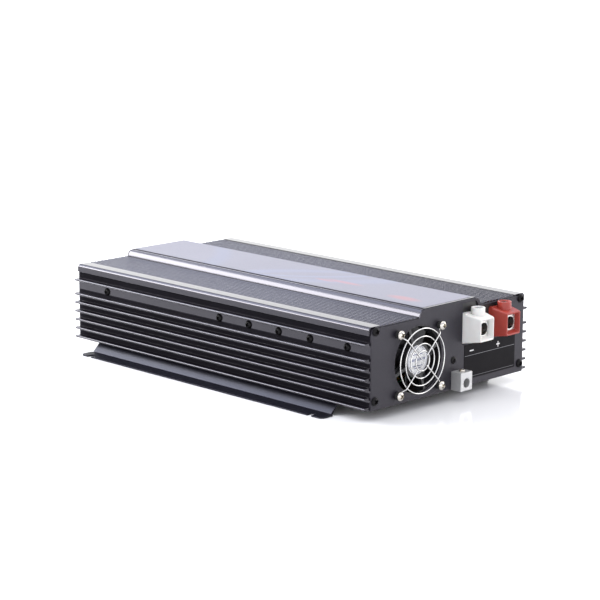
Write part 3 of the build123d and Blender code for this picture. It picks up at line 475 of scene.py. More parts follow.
def inset(loop, d):
    """Every point moved to the left of the direction of travel, mitred."""
    if not d:
        return loop
    out, n = [], len(loop)
    for i in range(n):
        (ax, ay), (bx, by), (cx, cy) = loop[i - 1], loop[i], loop[(i + 1) % n]
        l1, l2 = math.hypot(bx - ax, by - ay), math.hypot(cx - bx, cy - by)
        n1 = (-(by - ay) / l1, (bx - ax) / l1)
        n2 = (-(cy - by) / l2, (cx - bx) / l2)
        k = d / max(0.35, 1 + n1[0] * n2[0] + n1[1] * n2[1])
        out.append((bx + (n1[0] + n2[0]) * k, by + (n1[1] + n2[1]) * k))
    return out


def arc3(p0, p1, p2, n):
    """Points of the circle arc through three points, ends included."""
    (ax, ay), (bx, by), (cx, cy) = p0, p1, p2
    d = 2 * (ax * (by - cy) + bx * (cy - ay) + cx * (ay - by))
    ux = ((ax * ax + ay * ay) * (by - cy) + (bx * bx + by * by) * (cy - ay) + (cx * cx + cy * cy) * (ay - by)) / d
    uy = ((ax * ax + ay * ay) * (cx - bx) + (bx * bx + by * by) * (ax - cx) + (cx * cx + cy * cy) * (bx - ax)) / d
    r = math.hypot(ax - ux, ay - uy)
    a0, a1, a2 = (math.atan2(q[1] - uy, q[0] - ux) for q in (p0, p1, p2))
    turn = (a2 - a0) % (2 * math.pi)
    if (a1 - a0) % (2 * math.pi) > turn:
        turn -= 2 * math.pi
    return [(ux + r * math.cos(a0 + turn * k / n), uy + r * math.sin(a0 + turn * k / n)) for k in range(n + 1)]


def circle(cx, cy, r, n=48):
    return [(cx + r * math.cos(2 * math.pi * k / n), cy + r * math.sin(2 * math.pi * k / n)) for k in range(n)]


def rrect(cx, cy, w, h, r, n=6):
    """Rounded rectangle, counter-clockwise."""
    out = []
    for sx, sy, start in ((1, 1, 0), (-1, 1, 90), (-1, -1, 180), (1, -1, 270)):
        ox, oy = cx + sx * (w / 2 - r), cy + sy * (h / 2 - r)
        for k in range(n + 1):
            a = math.radians(start + 90 * k / n)
            out.append((ox + r * math.cos(a), oy + r * math.sin(a)))
    return out


def slot_loop(cx, cy, length, width, n=10):
    """Upright slot with round ends; length is between the end centres."""
    r = width / 2
    top = [(cx + r * math.cos(math.pi * k / n), cy + length / 2 + r * math.sin(math.pi * k / n)) for k in range(n + 1)]
    low = [(cx - r * math.cos(math.pi * k / n), cy - length / 2 - r * math.sin(math.pi * k / n)) for k in range(n + 1)]
    return top + low


def ring(bm, loop, w, to):
    return [bm.verts.new(to(u, v, w)) for u, v in loop]


def bridge(bm, a, b):
    n = len(a)
    for i in range(n):
        bm.faces.new((a[i], a[(i + 1) % n], b[(i + 1) % n], b[i]))


def cap(bm, rings):
    edges = []
    for r in rings:
        for i in range(len(r)):
            e = bm.edges.get((r[i], r[(i + 1) % len(r)])) or bm.edges.new((r[i], r[(i + 1) % len(r)]))
            edges.append(e)
    bmesh.ops.triangle_fill(bm, use_beauty=True, use_dissolve=False, edges=edges)


def slab(bm, outer, holes, w0, w1, b0, b1, to, steps=2, blind=()):
    """Outline with through holes pushed from w0 to w1, its end edges rounded by b0 and b1.
    A blind hole is (loop, depth) and opens at w0."""
    sign = 1 if w1 > w0 else -1
    loops = [ccw(tidy(outer))] + [ccw(tidy(h))[::-1] for h in holes]
    pockets = [(ccw(tidy(h))[::-1], d) for h, d in blind]
    quarter = [math.pi / 2 * k / steps for k in range(steps + 1)]
    start = [(b0 * (1 - math.sin(a)), w0 + sign * b0 * (1 - math.cos(a))) for a in quarter] if b0 else [(0.0, w0)]
    end = [(b1 * (1 - math.sin(a)), w1 - sign * b1 * (1 - math.cos(a))) for a in reversed(quarter)] if b1 else [(0.0, w1)]
    first, last = [], []
    for loop in loops:
        rings = [ring(bm, inset(loop, d), w, to) for d, w in start + end]
        for a, b in zip(rings, rings[1:]):
            bridge(bm, a, b)
        first.append(rings[0])
        last.append(rings[-1])
    for loop, depth in pockets:
        rings = [ring(bm, inset(loop, d), w, to) for d, w in start] + [ring(bm, loop, w0 + sign * depth, to)]
        for a, b in zip(rings, rings[1:]):
            bridge(bm, a, b)
        first.append(rings[0])
        cap(bm, [rings[-1]])
    cap(bm, first)
    cap(bm, last)


def lathe(bm, profile, n, to, closed=False):
    """Turned shape: profile is (radius, height) from one end to the other; closed joins its ends."""
    rings = []
    for r, h in profile:
        if r < 1e-6:
            rings.append([bm.verts.new(to(0, 0, h))])
        else:
            rings.append([bm.verts.new(to(r * math.cos(2 * math.pi * k / n), r * math.sin(2 * math.pi * k / n), h)) for k in range(n)])
    pairs = list(zip(rings, rings[1:])) + ([(rings[-1], rings[0])] if closed else [])
    for a, b in pairs:
        for i in range(n):
            j = (i + 1) % n
            if len(a) == 1 and len(b) > 1:
                bm.faces.new((a[0], b[i], b[j]))
            elif len(b) == 1 and len(a) > 1:
                bm.faces.new((a[i], a[j], b[0]))
            elif len(a) > 1:
                bm.faces.new((a[i], a[j], b[j], b[i]))


def tube(bm, points, r, n=14, closed=False):
    """Round wire along points in millimetres, with domed ends."""
    pts = [Vector(p) for p in points]
    m = len(pts)
    tangents = []
    for i in range(m):
        a = pts[i - 1] if (closed or i) else pts[0]
        b = pts[(i + 1) % m] if (closed or i < m - 1) else pts[-1]
        tangents.append((b - a).normalized())
    side = tangents[0].orthogonal().normalized()
    rings = []
    for i in range(m):
        side = (side - tangents[i] * side.dot(tangents[i])).normalized()
        other = tangents[i].cross(side)
        rings.append([bm.verts.new((pts[i] + (side * math.cos(2 * math.pi * k / n) + other * math.sin(2 * math.pi * k / n)) * r) * MM)
                      for k in range(n)])
    for a, b in zip(rings, rings[1:]):
        bridge(bm, a, b)
    if closed:
        # line the last ring up with the first before joining them
        a, b = rings[-1], rings[0]
        shift = min(range(n), key=lambda s: (a[0].co - b[s].co).length)
        bridge(bm, a, b[shift:] + b[:shift])
    else:
        for rr, point, t in ((rings[0], pts[0], -tangents[0]), (rings[-1], pts[-1], tangents[-1])):
            small = [bm.verts.new(point * MM + (v.co - point * MM) * 0.66 + t * r * 0.6 * MM) for v in rr]
            bridge(bm, rr, small)
            tip = bm.verts.new((point + t * r * 0.85) * MM)
            for i in range(n):
                bm.faces.new((small[i], small[(i + 1) % n], tip))


def torus(bm, centre, axis, big, small, n=72, m=14):
    to = axis_map(centre, axis)
    tube_pts = [Vector(to(big * math.cos(2 * math.pi * k / n), big * math.sin(2 * math.pi * k / n), 0)) / MM for k in range(n)]
    tube(bm, tube_pts, small, m, closed=True)


def to_mesh(bm, name, recalc=True):
    if recalc:
        bmesh.ops.recalc_face_normals(bm, faces=bm.faces[:])
    me = bpy.data.meshes.new(name)
    bm.to_mesh(me)
    bm.free()
    return me


def piece(cad_node, bm_or_mesh, sharp=34.0, weighted=True, suffix="shape", body=None, slot=None, replace=True):
    """Finished visible piece that stands for a CAD node and rides on its body."""
    name = f"{cad_node}_{suffix}"
    if isinstance(bm_or_mesh, bmesh.types.BMesh):
        bmesh.ops.remove_doubles(bm_or_mesh, verts=bm_or_mesh.verts[:], dist=1e-7)
        me = to_mesh(bm_or_mesh, name)
    else:
        me = bm_or_mesh
        me.name = name
    me.polygons.foreach_set("use_smooth", [True] * len(me.polygons))
    me.set_sharp_from_angle(angle=math.radians(sharp))
    me.materials.clear()
    slot = slot or SLOT_OF[cad_node]
    me.materials.append(MATS[slot])
    ob = bpy.data.objects.new(name, me)
    bpy.context.scene.collection.objects.link(ob)
    if weighted:
        mod = ob.modifiers.new("flat_face_normals", "WEIGHTED_NORMAL")
        mod.keep_sharp = True
        mod.weight = 60
    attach(ob, body or frame["nodes"][cad_node]["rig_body"])
    if replace:
        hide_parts(cad_node)
    return ob


def boolean(mesh_a, mesh_b, operation):
    """Exact boolean of two meshes, as a new mesh; both are used up."""
    a = bpy.data.objects.new("tmp_a", mesh_a)
    b = bpy.data.objects.new("tmp_b", mesh_b)
    for o in (a, b):
        bpy.context.scene.collection.objects.link(o)
    mod = a.modifiers.new("cut", "BOOLEAN")
    mod.object, mod.operation, mod.solver = b, operation, "EXACT"
    bpy.context.view_layer.update()
    dg = bpy.context.evaluated_depsgraph_get()
    out = bpy.data.meshes.new_from_object(a.evaluated_get(dg))
    for o in (a, b):
        bpy.data.objects.remove(o)
    for me in (mesh_a, mesh_b):
        bpy.data.meshes.remove(me)
    return out


def refine(cad_node, bevel=0.25, angle=35.0, segments=2, sharp=34.0):
    """The CAD shape with its flat faces merged and its sharp edges rounded."""
    src = frame["nodes"][cad_node]
    bm = bmesh.new()
    bm.from_mesh(src.data)
    bmesh.ops.remove_doubles(bm, verts=bm.verts[:], dist=3e-6)
    bmesh.ops.dissolve_limit(bm, angle_limit=math.radians(0.8), verts=bm.verts[:], edges=bm.edges[:])
    edges = [e for e in bm.edges if len(e.link_faces) == 2 and e.calc_face_angle(0.0) > math.radians(angle)]
    if bevel and edges:
        bmesh.ops.bevel(bm, geom=edges, offset=bevel * MM, offset_type="OFFSET", segments=segments, profile=0.5,
                        affect="EDGES", clamp_overlap=True)
    return piece(cad_node, bm, sharp=sharp)


# ---------------------------------------------------------------------- casing
def cover_outline():
    z = PLATEAU_Z
    valley, end = TOP_Z - RIB_DEPTH, RIB_X0 + RIB_PITCH * RIBS
    p = [(0, z), (38.5, z), (38.9, z - 0.1), (39.3, z - 0.75), (39.7, z - 0.3), (40.5, z - 0.55), (40.9, z - 1.2),
         (41.3, z - 0.75)]
    p += arc3((42.0, z - 1.0), (44.49, z - 4.22), (46.2, valley + 0.3), 18)
    p += [(46.2, valley - 0.7), (RIB_X0, valley - 0.7), (RIB_X0, valley)]
    for i in range(RIBS):
        x = RIB_X0 + RIB_PITCH * i
        p += [(x, valley)] + arc3((x + 0.7, valley), (x + 0.7 + (RIB_PITCH - 0.7) / 2, TOP_Z), (x + RIB_PITCH, valley), 10)
    p += [(end, valley), (end, valley - 0.7), (end + 1.2, valley - 0.7), (end + 1.2, TOP_Z - 0.05)]
    p += [(LIP_X - 4 + 4 * math.sin(a), TOP_Z - 4 + 4 * math.cos(a)) for a in (math.pi / 2 * k / 12 for k in range(13))]
    p += [(LIP_X, LIP_Z + 0.5), (LIP_X - 0.15, LIP_Z + 0.15), (LIP_X - 0.5, LIP_Z), (105.0, LIP_Z), (105.0, TOP_Z - 3.1),
          (42.2, TOP_Z - 3.1), (42.2, z - 5.5), (40.2, z - SKIN - 0.1), (0, z - SKIN - 0.1)]
    return p + [(-x, v) for x, v in reversed(p) if x > 0]


bm = bmesh.new()
slab(bm, cover_outline(), [circle(s * UP_SCREW[0], UP_SCREW[1], 2.0, 24) for s in (-1, 1)], Y0, Y1, 0.12, 0.12, to_y)
piece("top_cover", bm, sharp=30)


def heatsink_outline():
    w = WALL_X
    p = [(w, FLOOR_GAP)]
    for f in sorted(FIN_Z):
        z = FLOOR_GAP + f
        h = FIN_T / 2
        p += [(w, z - h - 0.6), (w + 0.18, z - h - 0.18), (w + 0.6, z - h)]
        p += [(FIN_TIP - h + h * math.cos(a), z + h * math.sin(a)) for a in (math.radians(-90 + 180 * k / 14) for k in range(15))]
        p += [(w + 0.6, z + h), (w + 0.18, z + h + 0.18), (w, z + h + 0.6)]
    for g in (69.6, 71.2, 72.8):
        z = FLOOR_GAP + g
        p += [(w, z - 0.25), (w - 0.4, z - 0.18), (w - 0.4, z + 0.18), (w, z + 0.25)]
    p += [(w, LIP_Z - 0.8), (w - 1.0, LIP_Z - 0.8), (w - 1.0, LIP_Z), (w - 3, LIP_Z), (w - 3, 25.0), (106.7, 25.0),
          (106.7, 15.9), (98.0, 15.9), (98.0, 12.9), (w - 3, 12.9), (w - 3, FLOOR_GAP)]
    return p


for side, s in (("right", 1), ("left", -1)):
    bm = bmesh.new()
    slab(bm, [(s * x, z) for x, z in heatsink_outline()], [circle(s * LOW_SCREW[0], LOW_SCREW[1], 2.0, 24)],
         Y0, Y1, 0.12, 0.12, to_y)
    piece(f"{side}_heatsink", bm, sharp=30)

bm = bmesh.new()
slab(bm, rrect(0, (Y0 + Y1) / 2, 226.4, Y1 - Y0, 0.6, 3),
     [circle(x, y, 1.6, 24) for x in (-92, 92) for y in (-179, 6, 191)], FLOOR_GAP, FLOOR_GAP + 1.5, 0.25, 0.25, to_z)
piece("base_plate", bm)

bm = bmesh.new()
slab(bm, rrect(0, (Y0 + Y1) / 2, 75.2, Y1 - Y0 - 6.0, 2.0, 8), [], PLATEAU_Z, PLATEAU_Z + 0.3, 0.0, 0.12, to_z)
piece("top_label", bm)


# ----------------------------------------------------------------- foot rails
def rail(s):
    """Bent sheet: flat pattern in (distance along the section, y), folded over two rounded bends."""
    turn = math.atan2(9.9, 9.4)
    rm, t = 1.45, 0.75
    corner = [(114.48, 10.65), (123.88, 0.75)]
    tan = rm * math.tan(turn / 2)
    stations = [(97.0, 10.65, 0.0)]                       # x, z, slope angle below level
    x0, z0 = corner[0][0] - tan, corner[0][1]
    for k in range(9):
        a = turn * k / 8
        stations.append((x0 + rm * math.sin(a), z0 - rm * (1 - math.cos(a)), a))
    x1, z1 = corner[1][0] + tan, corner[1][1]
    for k in range(9):
        a = turn * (1 - k / 8)
        stations.append((x1 - rm * math.sin(a), z1 + rm * (1 - math.cos(a)), a))
    stations.append((141.0, 0.75, 0.0))
    dist = [0.0]
    for a, b in zip(stations, stations[1:]):
        dist.append(dist[-1] + math.dist(a[:2], b[:2]))

    def along(x):
        return dist[-1] - (141.0 - x)

    ya, yb, yc, yd = -169.0, -172.5, 194.5, 196.5
    flat = [(0, ya), (along(125.2), ya), (along(125.2), yb), (along(137.5), yb), (along(141), yb + 3.5)]
    for y in (-155.3, 181.5):
        flat += [(along(141), y - 2.75)] + [(along(135.75) - 2.75 * math.sin(a), y - 2.75 * math.cos(a))
                                            for a in (math.pi * k / 16 for k in range(17))] + [(along(141), y + 2.75)]
    flat += [(along(141), yd - 3.5), (along(137.5), yd), (along(125.2), yd), (along(125.2), yc), (0, yc)]
    sheet = bmesh.new()
    sheet.faces.new([sheet.verts.new((u, v, 0)) for u, v in flat])
    for d in dist[1:-1]:
        bmesh.ops.bisect_plane(sheet, geom=sheet.verts[:] + sheet.edges[:] + sheet.faces[:], plane_co=(d, 0, 0),
                               plane_no=(1, 0, 0), dist=1e-5)
    out = bmesh.new()

    def place(v, side):
        u = min(max(v.co.x, 0.0), dist[-1])
        i = max(k for k in range(len(dist) - 1) if dist[k] <= u + 1e-4)
        f = (u - dist[i]) / (dist[i + 1] - dist[i])
        x, z, a = (p + (q - p) * f for p, q in zip(stations[i], stations[i + 1]))
        return (s * (x + side * t * math.sin(a)) * MM, v.co.y * MM, (z + side * t * math.cos(a)) * MM)

    top = {v: out.verts.new(place(v, 1)) for v in sheet.verts}
    low = {v: out.verts.new(place(v, -1)) for v in sheet.verts}
    for f in sheet.faces:
        out.faces.new([top[v] for v in f.verts])
        out.faces.new([low[v] for v in reversed(f.verts)])
    for e in sheet.edges:
        if len(e.link_faces) == 1:
            a, b = e.verts
            out.faces.new((top[a], top[b], low[b], low[a]))
    sheet.free()
    bmesh.ops.recalc_face_normals(out, faces=out.faces[:])
    rim = [e for e in out.edges if len(e.link_faces) == 2 and e.calc_face_angle(0) > math.radians(60)]
    bmesh.ops.bevel(out, geom=rim, offset=0.22 * MM, offset_type="OFFSET", segments=2, profile=0.5, affect="EDGES",
                    clamp_overlap=True)
    return out


for side, s in (("right", 1), ("left", -1)):
    piece(f"{side}_foot_rail", rail(s), sharp=30)


# ------------------------------------------------------------------ end panels
def panel_outline():
    p = [(0, FLOOR_GAP), (WALL_X - 0.4, FLOOR_GAP), (WALL_X, FLOOR_GAP + 0.4), (WALL_X, PANEL_TOP - 3.0)]
    p += arc3((WALL_X, PANEL_TOP - 3.0), (WALL_X - 0.88, PANEL_TOP - 0.88), (WALL_X - 3.0, PANEL_TOP), 8)[1:]
    p += [(47.2, PANEL_TOP), (46.4, PANEL_TOP + 0.5), (45.7, 94.6), (45.0, 96.6)]
    p += arc3((45.0, 96.6), (43.35, 99.15), (41.2, 100.4), 8)[1:] + [(39.6, 100.7), (38.0, 100.8), (0, 100.8)]
    return p + [(-x, v) for x, v in reversed(p) if x > 0]


CORNERS = [(sx * x, z) for sx in (-1, 1) for x, z in (UP_SCREW, LOW_SCREW)]
fan_corners = [(FAN_X + sx * FAN_PITCH / 2, FAN_Z + sz * FAN_PITCH / 2) for sx in (-1, 1) for sz in (-1, 1)]
window = [(18.6, 55.6), (91.0, 55.6), (91.0, 91.2), (42.6, 91.2), (41.6, 95.6), (39.4, 98.0), (18.6, 98.0)]
bm = bmesh.new()
slab(bm, panel_outline(),
     [circle(FAN_X, FAN_Z, 34.75, 96), window] + [circle(x, z, 2.2, 24) for x, z in CORNERS + fan_corners + [(5.5, 41.8)]],
     YF, Y0, 0.22, 0.1, to_y)
piece("dc_panel", bm)

bm = bmesh.new()
slab(bm, panel_outline(),
     [rrect(OUTLET_X, OUTLET_Z, 68.4, 35.0, 0.4, 2), rrect(ROCKER_X, ROCKER_Z, 22.4, 30.4, 0.4, 2),
      rrect(-50, 36, 14.4, 12.4, 0.4, 2), circle(-50, 72, 2.6, 32), circle(-50, 60, 2.6, 32)]
     + [circle(OUTLET_X + s * 41.7, OUTLET_Z, 2.2, 24) for s in (-1, 1)] + [circle(x, z, 2.2, 24) for x, z in CORNERS]
     + [slot_loop(-108.0 + 6.2 * i, 57.0, 50.0, 3.2) for i in range(8)]
     + [slot_loop(4.0 + 7.0 * i, 25.5, 9.0, 3.2) for i in range(14)], YR, Y1, 0.22, 0.1, to_y)
piece("ac_panel", bm)


# ---------------------------------------------------------------------- screws
def screw_mesh(head_r, head_h, shank_r, length, recess=0.56):
    """Domed head with a tapered cross recess, on a plain shank; head outwards along +w from w = 0."""
    bm = bmesh.new()
    rim = 0.28 * head_h
    sphere_h = head_h - rim
    big = (head_r ** 2 + sphere_h ** 2) / (2 * sphere_h)
    half = math.asin(min(1.0, head_r / big))
    dome = [(big * math.sin(half * (1 - k / 9)), rim + big * math.cos(half * (1 - k / 9)) - (big - sphere_h)) for k in range(10)]
    profile = [(0, -length), (shank_r - 0.3, -length), (shank_r, -length + 0.3), (shank_r, 0), (head_r - 0.25, 0), (head_r, 0.22)]
    profile += [(head_r, rim * 0.8)] + [(r * 0.985 if k == 0 else r, h) for k, (r, h) in enumerate(dome)][:-1] + [(0, head_h)]
    lathe(bm, profile, 40, lambda u, v, w: (u * MM, v * MM, w * MM))
    head = to_mesh(bm, "tmp_head")
    cut = bmesh.new()
    arm, slim = head_r * recess, head_r * 0.2

    def plus(a, b):
        return [(a, -b), (a, b), (b, b), (b, a), (-b, a), (-b, b), (-a, b), (-a, -b), (-b, -b), (-b, -a), (b, -a), (b, -b)]

    rings = [ring(cut, plus(arm * f, slim * g), head_h * h, to_z) for f, g, h in ((1.12, 1.2, 1.1), (1.0, 1.0, 0.8), (0.7, 0.8, 0.12))]
    for a, b in zip(rings, rings[1:]):
        bridge(cut, a, b)
    cut.faces.new(rings[0])
    cut.faces.new(rings[-1])
    return boolean(head, to_mesh(cut, "tmp_cross"), "DIFFERENCE")


def spread(mesh, places):
    """Copies of one mesh at (origin, axis, turn) in one bmesh."""
    out = bmesh.new()
    for origin, axis, turn in places:
        copy = mesh.copy()
        rot = Vector((0, 0, 1)).rotation_difference(Vector(axis)).to_matrix().to_4x4()
        copy.transform(Matrix.Translation(Vector(origin) * MM) @ rot @ Matrix.Rotation(math.radians(turn), 4, "Z"))
        out.from_mesh(copy)
        bpy.data.meshes.remove(copy)
    bpy.data.meshes.remove(mesh)
    return out


turns = [12, 40, 71, 25, 63, 8, 52, 33, 80, 18, 47, 66]
piece("dc_panel_screws", spread(screw_mesh(4.5, 3.2, 1.9, 9.0),
      [((x, YF, z), (0, -1, 0), turns[i]) for i, (x, z) in enumerate(CORNERS)]), sharp=28)
piece("dc_panel_screws", spread(screw_mesh(3.9, 1.6, 1.9, 6.0), [((5.5, YF, 41.8), (0, -1, 0), turns[4])]), sharp=28,
      suffix="lower")
piece("ac_panel_screws", spread(screw_mesh(4.5, 3.2, 1.9, 9.0),
      [((x, YR, z), (0, 1, 0), turns[i + 4]) for i, (x, z) in enumerate(CORNERS)]), sharp=28)
piece("side_screws", spread(screw_mesh(4.1, 2.8, 1.95, 13.0),
      [((s * WALL_X, y, SIDE_SCREW_Z), (s, 0, 0), turns[i]) for s in (-1, 1) for i, y in enumerate(SIDE_SCREW_Y)]), sharp=28)
piece("base_screws", spread(screw_mesh(3.4, 1.9, 1.9, 5.9),
      [((s * 104.0, y, FLOOR_GAP - 1.5), (0, 0, -1), turns[i]) for s in (-1, 1) for i, y in enumerate([-150.0, -30.0, 90.0, 180.0])]), sharp=28)
piece("fan_screws", spread(screw_mesh(4.6, 3.0, 2.0, 13.0, 0.56),
      [((x, YF - 4.3, z), (0, -1, 0), (45, 20, 62, 5)[i]) for i, (x, z) in enumerate(fan_corners)]), sharp=28)
piece("receptacle_screws", spread(screw_mesh(3.2, 1.8, 1.65, 8.0),
      [((OUTLET_X + s * 41.7, YR + 2.0, OUTLET_Z), (0, 1, 0), 30 * s) for s in (-1, 1)]), sharp=28)

# ------------------------------------------------------------------------- fan
RING_Y, WIRE_R = YF - 5.6, 0.65
RAD_Y, EYE_Y = RING_Y - 1.2, YF - 3.65
bm = bmesh.new()
for r in (32.8, 24.8, 17.4, 10.1):
    torus(bm, (FAN_X, RING_Y, FAN_Z), (0, 1, 0), r, WIRE_R, 96, 14)
for k, inner in enumerate((7.6, 2.1, 12.6, 7.6)):
    c, s = math.cos(math.radians(45 + 90 * k)), math.sin(math.radians(45 + 90 * k))
    eye = FAN_PITCH / math.sqrt(2)
    stem = [(inner, RAD_Y), (14, RAD_Y), (20, RAD_Y), (27, RAD_Y), (33.6, RAD_Y), (34.6, RAD_Y + 0.15), (35.4, RAD_Y + 0.7),
            (36.2, RAD_Y + 1.5), (37.0, EYE_Y - 0.65), (37.7, EYE_Y - 0.12), (38.6, EYE_Y), (eye - 3.6, EYE_Y)]
    tube(bm, [(FAN_X + rho * c, y, FAN_Z + rho * s) for rho, y in stem], WIRE_R, 14)
    torus(bm, (FAN_X + eye * c, EYE_Y, FAN_Z + eye * s), (0, 1, 0), 3.2, WIRE_R, 40, 12)
piece("fan_guard", bm, sharp=60, weighted=False)

bm = bmesh.new()
for x, z in fan_corners:
    lathe(bm, [(2.3, 0.15), (2.45, 0), (3.7, 0), (4.0, 0.3), (4.0, 2.7), (3.7, 3.0), (2.45, 3.0), (2.3, 2.85)], 32,
          axis_map((x, YF, z), (0, -1, 0)), closed=True)
piece("fan_guard_spacers", bm)

bm = bmesh.new()
lathe(bm, [(0, 0), (14.5, 0), (14.7, 0.08), (14.7, 0.2), (14.55, 0.3), (0, 0.3)], 72, axis_map((FAN_X, Y0, FAN_Z), (0, -1, 0)))
piece("fan_hub_label", bm)


def rotor():
    bm = bmesh.new()
    lathe(bm, [(0, 1.5), (1.5, 1.5), (1.5, 16.6), (13.2, 16.6), (14.0, 15.8), (14.0, 1.6), (14.3, 1.4), (16.5, 1.4), (16.8, 1.7),
               (16.8, 17.6), (16.4, 18.8), (15.3, 19.5), (0, 19.5)], 72, axis_map((FAN_X, Y0 + 3.0, FAN_Z), (0, 1, 0)))
    span, around = 9, 20
    for k in range(7):
        base = math.radians(360.0 / 7 * k + 8)
        sections = []
        for j in range(span + 1):
            f = j / span
            rho = 15.9 + (31.6 - 15.9) * f
            sweep = base + math.radians(7.0 * f * f - 2.5 * f)
            radial = Vector((math.cos(sweep), 0, math.sin(sweep)))
            tangent = Vector((-radial.z, 0, radial.x))
            pitch = math.radians(56 - 6 * f)
            chord, thick = 16.5 + 2.5 * f, 1.9 - 0.8 * f
            along = Vector((0, math.cos(pitch), 0)) + tangent * math.sin(pitch)
            across = radial.cross(along).normalized()
            hub = Vector((FAN_X, Y0 + 13.2, FAN_Z)) + radial * rho
            loop = []
            for i in range(around):
                a = 2 * math.pi * i / around
                t = 0.5 * math.cos(a)
                camber = 0.05 * chord * (1 - (2 * t) ** 2)
                body = 0.5 * thick * math.sin(a) * (1 - 0.35 * t)
                spot = along * (t * chord) + across * (camber + body)
                turn, drop = spot.dot(tangent) / rho, spot.dot(radial)
                wrap = radial * math.cos(turn) + tangent * math.sin(turn)
                loop.append(bm.verts.new((Vector((FAN_X, hub.y + spot.y, FAN_Z)) + wrap * (rho + drop)) * MM))
            sections.append(loop)
        for a, b in zip(sections, sections[1:]):
            bridge(bm, a, b)
        bm.faces.new(sections[0])
        bm.faces.new(sections[-1])
    return bm


piece("fan_rotor", rotor(), sharp=40)


# ------------------------------------------------------------------- terminals
def loft(bm, rings):
    for a, b in zip(rings, rings[1:]):
        bridge(bm, a, b)
    return rings


def housing(cx):
    """Tapered shroud with a deep square funnel, a back flange ledge, and a round screw well on top."""
    bm = bmesh.new()
    cz = TERM_Z

    def at(y, w, h, r):
        return ring(bm, rrect(cx, cz, w, h, r, 5), y, to_y)

    depth = Y0 - Y_TIP

    def outer(f):
        return 29.2 + (21.0 - 29.2) * f, 31.6 + (23.6 - 31.6) * f

    rings = [at(Y0, 15.9, 15.9, 0.6), at(Y0, *(v - 0.4 for v in outer(0)), 1.4), at(Y0 - 0.2, *outer(0.01), 1.6)]
    rings += [at(Y0 + (Y_TIP - Y0) * f, *outer(f), 1.6) for f in (0.1, 0.5, 0.9, 0.975)]
    rings += [at(Y_TIP + 0.15, 20.85, 23.45, 1.5), at(Y_TIP, 20.45, 23.05, 1.3), at(Y_TIP, 19.3, 21.3, 1.2),
              at(Y_TIP + 0.12, 18.85, 20.85, 1.1), at(Y_TIP + 0.5, 18.4, 20.3, 1.0), at(Y_TUBE - 0.1, 15.6, 15.7, 0.9),
              at(Y_TUBE + 0.1, 15.6, 15.6, 0.9)]
    loft(bm, rings)
    # the pocket's wall behind the funnel closes the shell
    inner = at(Y_TUBE + 0.1, 15.9, 15.9, 0.6)
    bridge(bm, rings[-1], inner)
    bridge(bm, inner, rings[0])
    shell = to_mesh(bm, "tmp_shell")
    shell.name = "tmp_shell"
    ledge = bmesh.new()
    slab(ledge, rrect(cx - 7.6, TERM_Z + 9.0, 12.8, 14.4, 0.8, 3), [], Y0 - 0.2, Y0 - 4.4, 0.1, 0.4, to_y)
    out = boolean(shell, to_mesh(ledge, "tmp_ledge"), "UNION")
    boss = bmesh.new()
    lathe(boss, [(0, 8.6), (7.15, 8.6), (7.15, 20.9), (6.95, 21.25), (6.6, 21.4), (0, 21.4)], 56,
          axis_map((cx, Y_CLAMP, cz), (0, 0, 1)))
    out = boolean(out, to_mesh(boss, "tmp_boss"), "UNION")
    well = bmesh.new()
    lathe(well, [(0, 7.2), (5.0, 7.2), (5.0, 20.3), (5.25, 20.55), (5.75, 20.75), (5.85, 21.1), (6.05, 22.6), (0, 22.6)], 56,
          axis_map((cx, Y_CLAMP, cz), (0, 0, 1)))
    return boolean(out, to_mesh(well, "tmp_well"), "DIFFERENCE")


def block_mesh(cx):
    bm = bmesh.new()
    slab(bm, rrect(cx, TERM_Z, 15.8, 15.8, 0.5, 3), [], Y_TUBE, Y0 + 10.0, 0.35, 0.3, to_y,
         blind=[(circle(cx, TERM_Z, 6.35, 56), 22.0)])
    tapped = bmesh.new()
    lathe(tapped, [(0, 1.0), (4.02, 1.0), (4.02, 9.0), (0, 9.0)], 80, axis_map((cx, Y_CLAMP, TERM_Z), (0, 0, 1)))
    return boolean(to_mesh(bm, "tmp_block"), to_mesh(tapped, "tmp_tapped"), "DIFFERENCE")


def clamp_screw_mesh(cx):
    bm = bmesh.new()
    z0, z1 = TERM_Z + 8.15, TERM_Z + 20.15
    profile = [(0, z0), (3.4, z0), (3.75, z0 + 0.4)]
    # thread: shallow ridges up the shank
    z = z0 + 0.8
    while z < z1 - 1.4:
        profile += [(3.95, z), (3.62, z + 0.5)]
        z += 1.0
    profile += [(3.95, z1 - 1.0), (3.95, z1 - 0.5), (3.5, z1), (0, z1)]
    lathe(bm, profile, 40, lambda u, v, w: ((cx + u) * MM, (Y_CLAMP + v) * MM, w * MM))
    hexa = bmesh.new()
    loop = [(cx + 2.5 * math.cos(math.pi / 3 * k), Y_CLAMP + 2.5 * math.sin(math.pi / 3 * k)) for k in range(6)]
    slab(hexa, loop, [], z1 - 4.5, z1 + 1.0, 0.0, 0.0, to_z)
    return boolean(to_mesh(bm, "tmp_shank"), to_mesh(hexa, "tmp_hex"), "DIFFERENCE")


for name, cx in (("neg", NEG_X), ("pos", POS_X)):
    piece(f"{name}_terminal_housing", housing(cx), sharp=32)
    piece(f"{name}_terminal_block", block_mesh(cx), sharp=32)
    piece(f"{name}_clamp_screw", clamp_screw_mesh(cx), sharp=50, weighted=False)

refine("terminal_carrier", 0.2)

